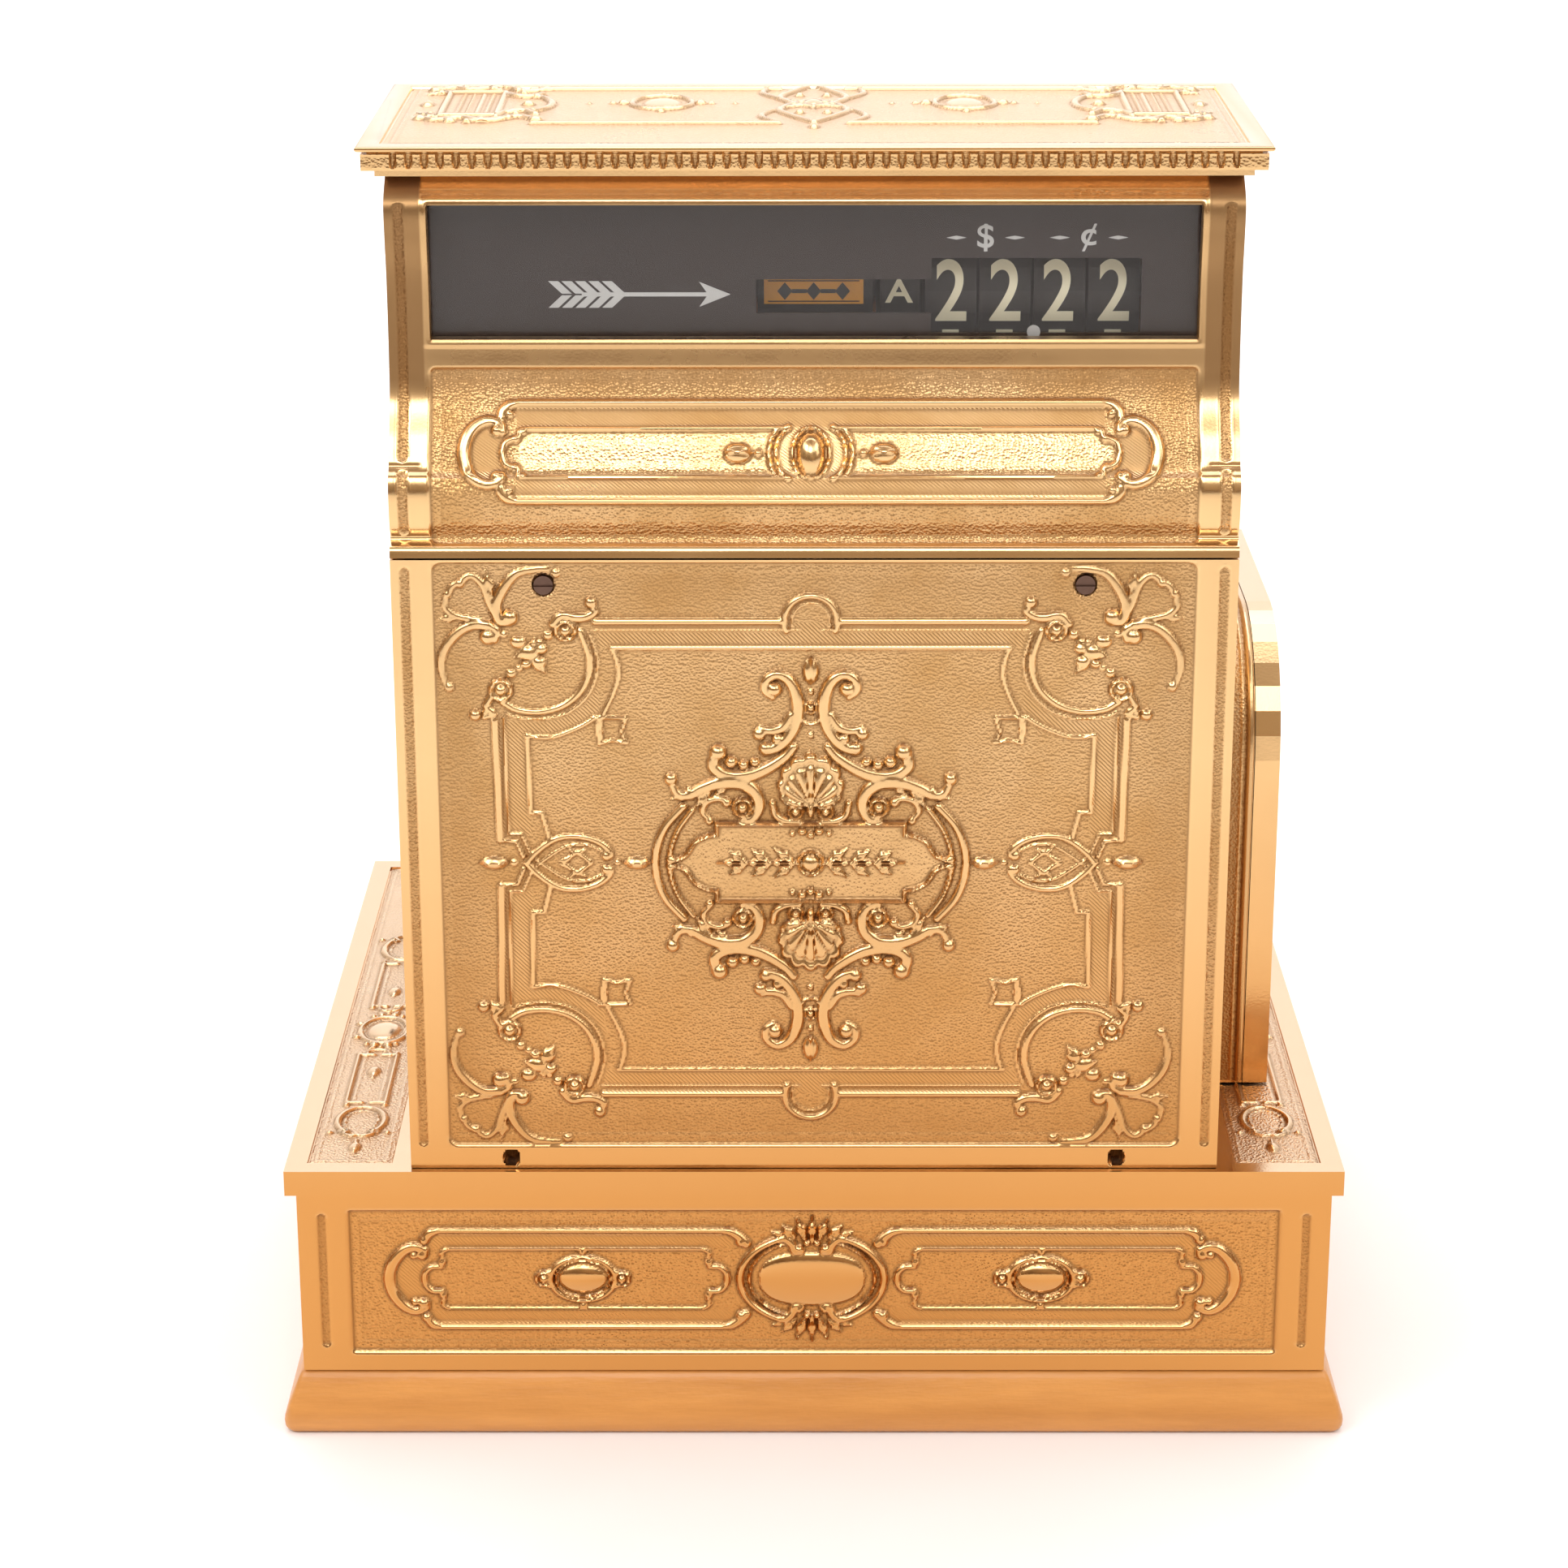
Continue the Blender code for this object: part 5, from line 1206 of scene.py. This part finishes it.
def base():
    """Wooden base with a rounded, sloping edge and pockets for the drawer's rollers."""
    profile = [(3.4, 0), (2.0, 0.5), (0.9, 1.6), (0.2, 3.4), (0, 5.5), (0.3, 8), (2.2, 14), (4.6, 20),
               (6.2, 24), (7.2, 26.4), (8.3, 28.2), (9.6, 29.4), (11.4, 30.0)]
    made = swept("base_moulding", profile, 255.0, (-4.5, 428.5), 5.0, 5)
    pocket_size, pocket_y, pocket_z = Vector((18, 20, 15)), 330, 24.5
    for side in (-1, 1):
        bm = bmesh.new()
        bmesh.ops.create_cube(bm, size=1.0)
        for vertex in bm.verts:
            vertex.co = (Vector((side * 200, pocket_y - MID_Y, pocket_z)) + vertex.co * pocket_size) * MM
        tool = solid("pocket_tool", bm)
        modifier = made.modifiers.new("pocket", "BOOLEAN")
        modifier.operation, modifier.object = "DIFFERENCE", tool
        graph = bpy.context.evaluated_depsgraph_get()
        mesh = bpy.data.meshes.new_from_object(made.evaluated_get(graph))
        made.modifiers.clear()
        made.data = mesh
        bpy.data.objects.remove(tool)
    add_piece(made, "cabinet", WOOD, replaces=("base_board",))


# ---- figures -------------------------------------------------------------------------------------
DRUM_Y, DRUM_Z, DRUM_RADIUS = 107, 545, 50.0
WHEEL_STEP = math.radians(36)                  # from one figure on a wheel to the next
AMOUNT_WHEELS = (("amount_wheel_1", 61.8), ("amount_wheel_2", 86.2), ("amount_wheel_3", 110.0),
                 ("amount_wheel_4", 135.2))
CLERK_X, FLAG_X = 38.3, -0.2
ARROW_Z, SIGN_Z = 546.3, 571.8
SIGNS = (("$", 76.3, 7.4), ("¢", 122.3, 7.0))  # sign, place along x, width


def lettering(body, width, height, depth, bold=0.0):
    """A bmesh of a sign in millimetres, centred and scaled into a width and height."""
    curve = bpy.data.curves.new("lettering", "FONT")
    curve.body, curve.size, curve.extrude, curve.offset = body, 1.0, 0.5, bold
    curve.resolution_u = 6
    text = linked("lettering", curve)
    graph = bpy.context.evaluated_depsgraph_get()
    mesh = bpy.data.meshes.new_from_object(text.evaluated_get(graph))
    bm = bmesh.new()
    bm.from_mesh(mesh)
    bpy.data.objects.remove(text)
    bpy.data.curves.remove(curve)
    bpy.data.meshes.remove(mesh)
    bmesh.ops.remove_doubles(bm, verts=bm.verts, dist=1e-5)
    xs, ys = [v.co.x for v in bm.verts], [v.co.y for v in bm.verts]
    middle = ((min(xs) + max(xs)) / 2, (min(ys) + max(ys)) / 2)
    scale = (width / (max(xs) - min(xs)), height / (max(ys) - min(ys)))
    for v in bm.verts:
        v.co = ((v.co.x - middle[0]) * scale[0], (v.co.y - middle[1]) * scale[1], (v.co.z + 0.5) * depth)
    return bm


def outline_plate(points, depth):
    """A bmesh of a flat polygon in millimetres, extruded to a depth."""
    bm = stacked(bmesh.new(), [[(x, y, z) for x, y in points] for z in (0, depth)])
    bmesh.ops.recalc_face_normals(bm, faces=bm.faces)
    return bm


def oblong(x, y, half_x, half_y):
    """Corners of a rectangle about a point."""
    return [(x - half_x, y - half_y), (x + half_x, y - half_y), (x + half_x, y + half_y),
            (x - half_x, y + half_y)]


def lozenge(x, y, half_x, half_y):
    """Corners of a diamond about a point."""
    return [(x - half_x, y), (x, y - half_y), (x + half_x, y), (x, y + half_y)]


def sliced(bm, step):
    """Cuts a bmesh into bands along Y so that it can be bent."""
    ys = [v.co.y for v in bm.verts]
    for y in np.arange(min(ys) + step, max(ys), step):
        geometry = bm.verts[:] + bm.edges[:] + bm.faces[:]
        bmesh.ops.bisect_plane(bm, geom=geometry, plane_co=(0, y, 0), plane_no=(0, 1, 0))
    return bm


def gathered(name, shapes, body, material):
    """One piece from bmeshes and the functions that place their points, in millimetres."""
    total = bmesh.new()
    for bm, mapping in shapes:
        for v in bm.verts:
            x, y, z = mapping(*v.co)
            v.co = Vector((x, y - MID_Y, z)) * MM
        mesh = bpy.data.meshes.new("shape")
        bm.to_mesh(mesh)
        bm.free()
        total.from_mesh(mesh)
        bpy.data.meshes.remove(mesh)
    bmesh.ops.recalc_face_normals(total, faces=total.faces)
    add_piece(solid(name, total), body, material)


def on_drum(x0, angle, operator, lift=0.0):
    """Places flat shapes on a drum at an angle above its customer's or operator's side."""
    side, radius = 1 if operator else -1, DRUM_RADIUS + lift

    def mapping(x, y, z):
        a, r = angle + y / radius, radius + z - 0.02
        return x0 - side * x, DRUM_Y + side * r * math.cos(a), DRUM_Z + r * math.sin(a)
    return mapping


def on_mask(operator, x0=0.0, z0=0.0, turn=1):
    """Places flat shapes on the outer face of a mask; turn is -1 for what the operator reads."""
    face_y, out = (167.15, 1) if operator else (44.05, -1)

    def mapping(x, y, z):
        return x0 + turn * x, face_y + out * z, z0 + y
    return mapping


def wheel_figures():
    """Figures on the amount wheels and letters on the clerk wheel, for both sides to read."""
    for name, x in AMOUNT_WHEELS:
        shapes = []
        for operator in (False, True):
            for k, figure in enumerate("43210"):
                sign = sliced(lettering(figure, 14.0 if figure != "1" else 7.5, 28.6, 0.3, 0.012), 2.4)
                shapes.append((sign, on_drum(x, (2 - k) * WHEEL_STEP * 1.06, operator)))
        gathered(f"{name}_figures", shapes, name, CREAM)
    letters = []
    for operator in (False, True):
        for k, figure in enumerate("CBAED"):
            letters.append((sliced(lettering(figure, 12.6, 10.8, 0.3, 0.016), 2.4),
                            on_drum(CLERK_X, (2 - k) * WHEEL_STEP, operator)))
    gathered("clerk_wheel_letters", letters, "clerk_wheel", CREAM)


def drum_flags():
    """Amber flags round the transaction drum, with diamonds, bars and border lines on them."""
    plates, marks = [], []
    for operator in (False, True):
        for k in range(-2, 3):
            angle = k * WHEEL_STEP
            plates.append((sliced(outline_plate(oblong(0, 0, 22.4, 5.9), 0.25), 2.0),
                           on_drum(FLAG_X, angle, operator)))
            for dx in (-13, 0, 13):
                marks.append((sliced(outline_plate(lozenge(0, 0, 3.4, 4.0), 0.25), 2.0),
                              on_drum(FLAG_X + dx, angle, operator, 0.2)))
            for dx in (-6.5, 6.5):
                marks.append((outline_plate(oblong(0, 0, 3.4, 0.9), 0.25),
                              on_drum(FLAG_X + dx, angle, operator, 0.2)))
            for dy in (-4.65, 4.65):
                marks.append((outline_plate(oblong(0, dy, 20.6, 0.25), 0.25),
                              on_drum(FLAG_X, angle, operator, 0.2)))
    gathered("transaction_flags", plates, "transaction_drum", AMBER)
    gathered("transaction_marks", marks, "transaction_drum", WHEEL)


def mask_marks():
    """Arrow, currency signs with lozenges beside them, and the dot before the cents, on both masks."""
    flat = [(oblong(-75.5, ARROW_Z, 28.5, 0.9), 0.4),
            ([(-37.5, 546.3), (-51.4, 540.7), (-48.2, 545.2), (-48.2, 547.4), (-51.4, 551.9)], 0.5),
            (arc(3.0, 3.0, 0, ROUND, 25, 98.4, 529.2)[:-1], 0.6)]
    for k in range(5):
        x = -118.9 + 6.0 * k
        for side in (-1, 1):
            top, foot = ARROW_Z + side * 6, ARROW_Z + side * 0.4
            flat.append(([(x, top), (x + 4.4, top), (x + 10.4, foot), (x + 6.0, foot)], 0.45))
    for _, x, _ in SIGNS:
        for dx in (-13, 13):
            flat.append((lozenge(x + dx, SIGN_Z, 4.4, 0.9), 0.4))
    for name, operator in (("rear", False), ("front", True)):
        shapes = [(outline_plate(points, depth), on_mask(operator)) for points, depth in flat]
        for sign, x, wide in SIGNS:
            shapes.append((lettering(sign, wide, 12.4, 0.4, 0.01),
                           on_mask(operator, x, SIGN_Z, -1 if operator else 1)))
        gathered(f"{name}_mask_marks", shapes, "cabinet", GREY_WHITE)


# ---- keys ----------------------------------------------------------------------------------------
KEY_BANKS = (("key_bank_1", 118), ("key_bank_2", 78), ("key_bank_3", 38), ("key_bank_4", -2),
             ("key_bank_clerk", -66))
SIDE_KEYS_X = -126
KEY_RADIUS, NO_SALE_RADIUS = 9.5, 13.0
KEY_RING = [(0.8, 8.6), (0.98, 8.8), (1.06, 9.6), (1.06, 13.4), (1.02, 14.0), (0.96, 14.2), (0.9, 13.9),
            (0.89, 13.6)]      # share of the key's radius, height above the slope
KEY_DISC = [(0.9, 13.5), (0.89, 13.8), (0.7, 14.05), (0.35, 14.2)]
BAR_RING = [(0.1, 8.8), (0.8, 9.4), (0.8, 14.6), (0.4, 15.4), (-0.5, 15.6), (-1.3, 15.4), (-1.4, 15.2)]
BAR_DISC = [(-1.2, 15.1), (-1.5, 15.4), (-3.0, 15.8), (-4.6, 15.9)]


def round_top(radius, profile):
    """A round cap for a key: shares of its radius and heights, turned into a solid."""
    return stacked(bmesh.new(), [[(*spot, h) for spot in arc(radius * q, radius * q, 0, ROUND, 25)[:-1]]
                                 for q, h in profile])


def bar_top(half_x, half_s, corner, profile):
    """A bar-shaped cap for a key: how far each loop grows past the bar's outline, and its height."""
    outline = [(sx * (half_x - corner), ss * (half_s - corner), start + turn)
               for sx, ss, start in ((1, 1, 0), (-1, 1, math.pi / 2), (-1, -1, math.pi),
                                     (1, -1, 1.5 * math.pi))
               for turn in np.linspace(0, math.pi / 2, 6)]
    return stacked(bmesh.new(), [[(x + (corner + grow) * math.cos(t), y + (corner + grow) * math.sin(t), h)
                                  for x, y, t in outline] for grow, h in profile])


def on_slope(x0, s0, lift=0.0):
    """Places shapes on the keyboard, at a distance down its slope."""
    def mapping(x, y, z):
        return (x0 - x, *slope_point(s0 - y, z + lift))
    return mapping


def keys():
    """Rings, ivory discs and signs on the key tops."""
    spots = [40.0 + 30.0 * i for i in range(9)]
    for name, x in KEY_BANKS:
        signs = "ABCDEFGHI" if name.endswith("clerk") else "987654321"
        for kind, profile, material, slot in (("rings", KEY_RING, BRASS_PLAIN, "brass"),
                                              ("discs", KEY_DISC, IVORY, "key_top")):
            gathered(f"{name}_{kind}", [(round_top(KEY_RADIUS, profile), on_slope(x, s)) for s in spots],
                     name, material)
        marks = [(lettering(sign, 5.6 if sign not in "1I" else 2.6, 8.4, 0.35, 0.012),
                  on_slope(x, s, 13.95))
                 for sign, s in zip(signs, spots)]
        gathered(f"{name}_signs", marks, name, WHEEL)
    for name, top, s, lift, body, material, slot in (
            ("no_sale_ring", round_top(NO_SALE_RADIUS, KEY_RING), 80, 0.4, "key_no_sale", BRASS_PLAIN,
             "brass"),
            ("no_sale_disc", round_top(NO_SALE_RADIUS, KEY_DISC), 80, 0.5, "key_no_sale", RED, "key_red"),
            ("total_ring", bar_top(12, 35, 5, BAR_RING), 220, 0.0, "key_total", BRASS_PLAIN, "brass"),
            ("total_disc", bar_top(12, 35, 5, BAR_DISC), 220, 0.0, "key_total", IVORY, "key_top"),
            ("total_sign", lettering("+", 9.0, 9.0, 0.35, 0.012), 220, 15.8, "key_total", WHEEL,
             "wheel_black")):
        gathered(name, [(top, on_slope(SIDE_KEYS_X, s, lift))], body, material)


# ---- stage -------------------------------------------------------------------------------------
CAMERA_SPOT = (-7.2, -1684.1, 912.4)
CAMERA_PITCH, CAMERA_YAW, CAMERA_ROLL = (math.radians(angle) for angle in (19.0875, -0.222, -0.097))
CAMERA_LENS = 89.95            # on a sensor 36 mm wide
LIGHTS = (("key_light", (-1.5, -1.5, 2.3), (0, 0, 0.3), 0.8, 12, (1.0, 0.97, 0.93)),   # name, place, aim,
          ("front_light", (-0.1, -2.0, 2.15), (0, 0, 0.4), 0.9, 7, (1, 1, 1)),         # size, power, colour
          ("fill_light", (2.2, -1.2, 1.5), (0, 0, 0.3), 1.0, 4, (1, 1, 1)),
          ("backdrop_light", (0.0, 0.9, 2.4), (0, 1.5, 0), 2.4, 41, (1, 1, 1)))
FLOOR_NEAR, FLOOR_BEND, BEND_RADIUS, BACKDROP_TOP, FLOOR_HALF_WIDTH = -6.0, 1.6, 1.0, 5.0, 7.0    # metres
SKY_STOPS = ((0.0, (0.32, 0.22, 0.15)), (0.16, (0.42, 0.32, 0.23)), (0.46, (0.46, 0.38, 0.30)),
             (0.56, (2.7, 2.7, 2.8)), (0.71, (2.7, 2.7, 2.8)), (0.79, (0.8, 0.72, 0.64)),
             (1.0, (0.5, 0.36, 0.25)))


def camera():
    """Long lens in front of the customer's side, a little above the machine."""
    data = bpy.data.cameras.new("camera")
    data.lens, data.sensor_width, data.clip_end = CAMERA_LENS, 36.0, 50.0
    made = linked("camera", data)
    aim = Vector((math.sin(CAMERA_YAW) * math.cos(CAMERA_PITCH),
                  math.cos(CAMERA_YAW) * math.cos(CAMERA_PITCH), -math.sin(CAMERA_PITCH)))
    spot = Vector((CAMERA_SPOT[0], CAMERA_SPOT[1] - MID_Y, CAMERA_SPOT[2])) * MM
    made.matrix_world = facing(spot, aim) @ Matrix.Rotation(CAMERA_ROLL, 4, "Z")
    bpy.context.scene.camera = made


def facing(place, direction):
    """The matrix of a camera or a light that looks in a direction from a place."""
    return Matrix.Translation(place) @ direction.to_track_quat("-Z", "Y").to_matrix().to_4x4()


def studio():
    """White floor that sweeps up behind the machine, a banded sky and soft square lights."""
    bend = arc(BEND_RADIUS, BEND_RADIUS, -math.pi / 2, 0, 13, FLOOR_BEND, BEND_RADIUS)
    path = [(FLOOR_NEAR, 0.0), *bend, (FLOOR_BEND + BEND_RADIUS, BACKDROP_TOP)]
    mesh = bpy.data.meshes.new("studio_floor")
    vertices = [(side * FLOOR_HALF_WIDTH, y, z - 0.0004) for y, z in path for side in (-1, 1)]
    faces = [(2 * i, 2 * i + 1, 2 * i + 3, 2 * i + 2) for i in range(len(path) - 1)]
    mesh.from_pydata(vertices, [], faces)
    for polygon in mesh.polygons:
        polygon.use_smooth = True
    floor = linked("studio_floor", mesh)
    floor.data.materials.append(plain("studio_white", (0.93, 0.935, 0.94), 0.6, 0.0, 0.01, 5.0, 0.0))
    sky()
    bpy.context.scene.view_settings.view_transform = "Standard"
    for name, place, aim, size, power, colour in LIGHTS:
        data = bpy.data.lights.new(name, "AREA")
        data.size, data.energy, data.color = size, power, colour
        linked(name, data).matrix_world = facing(Vector(place), Vector(aim) - Vector(place))


def sky():
    """World light in bands: bright a little above the horizon, warm and dimmer elsewhere, and uneven."""
    world = bpy.data.worlds.new("studio_sky")
    n = Nodes(world, "Generated")
    ramp = n.add("ShaderNodeValToRGB")
    while len(ramp.color_ramp.elements) < len(SKY_STOPS):
        ramp.color_ramp.elements.new(0.5)
    for element, (position, colour) in zip(ramp.color_ramp.elements, SKY_STOPS):
        element.position, element.color = position, (*colour, 1)
    n.put(ramp.inputs[0], n.add("ShaderNodeSeparateXYZ", Vector=n.position).outputs[2])
    background = n.tree.nodes["Background"]
    n.put(background.inputs[0], ramp.outputs[0])
    n.put(background.inputs[1], n.ranged(n.noise(2.6, 1.0), 0.6, 1.15, 0.36, 0.64))
    bpy.context.scene.world = world


camera()
studio()
finish_nodes()
cover_relief()
upper_relief()
case_relief()
cornice()
top_relief()
for side in (-1, 1):
    lid_strip(side)
    side_relief(side)
operator_panels()
printer_door_relief()
printer_band_relief()
base()
wheel_figures()
drum_flags()
mask_marks()
keys()
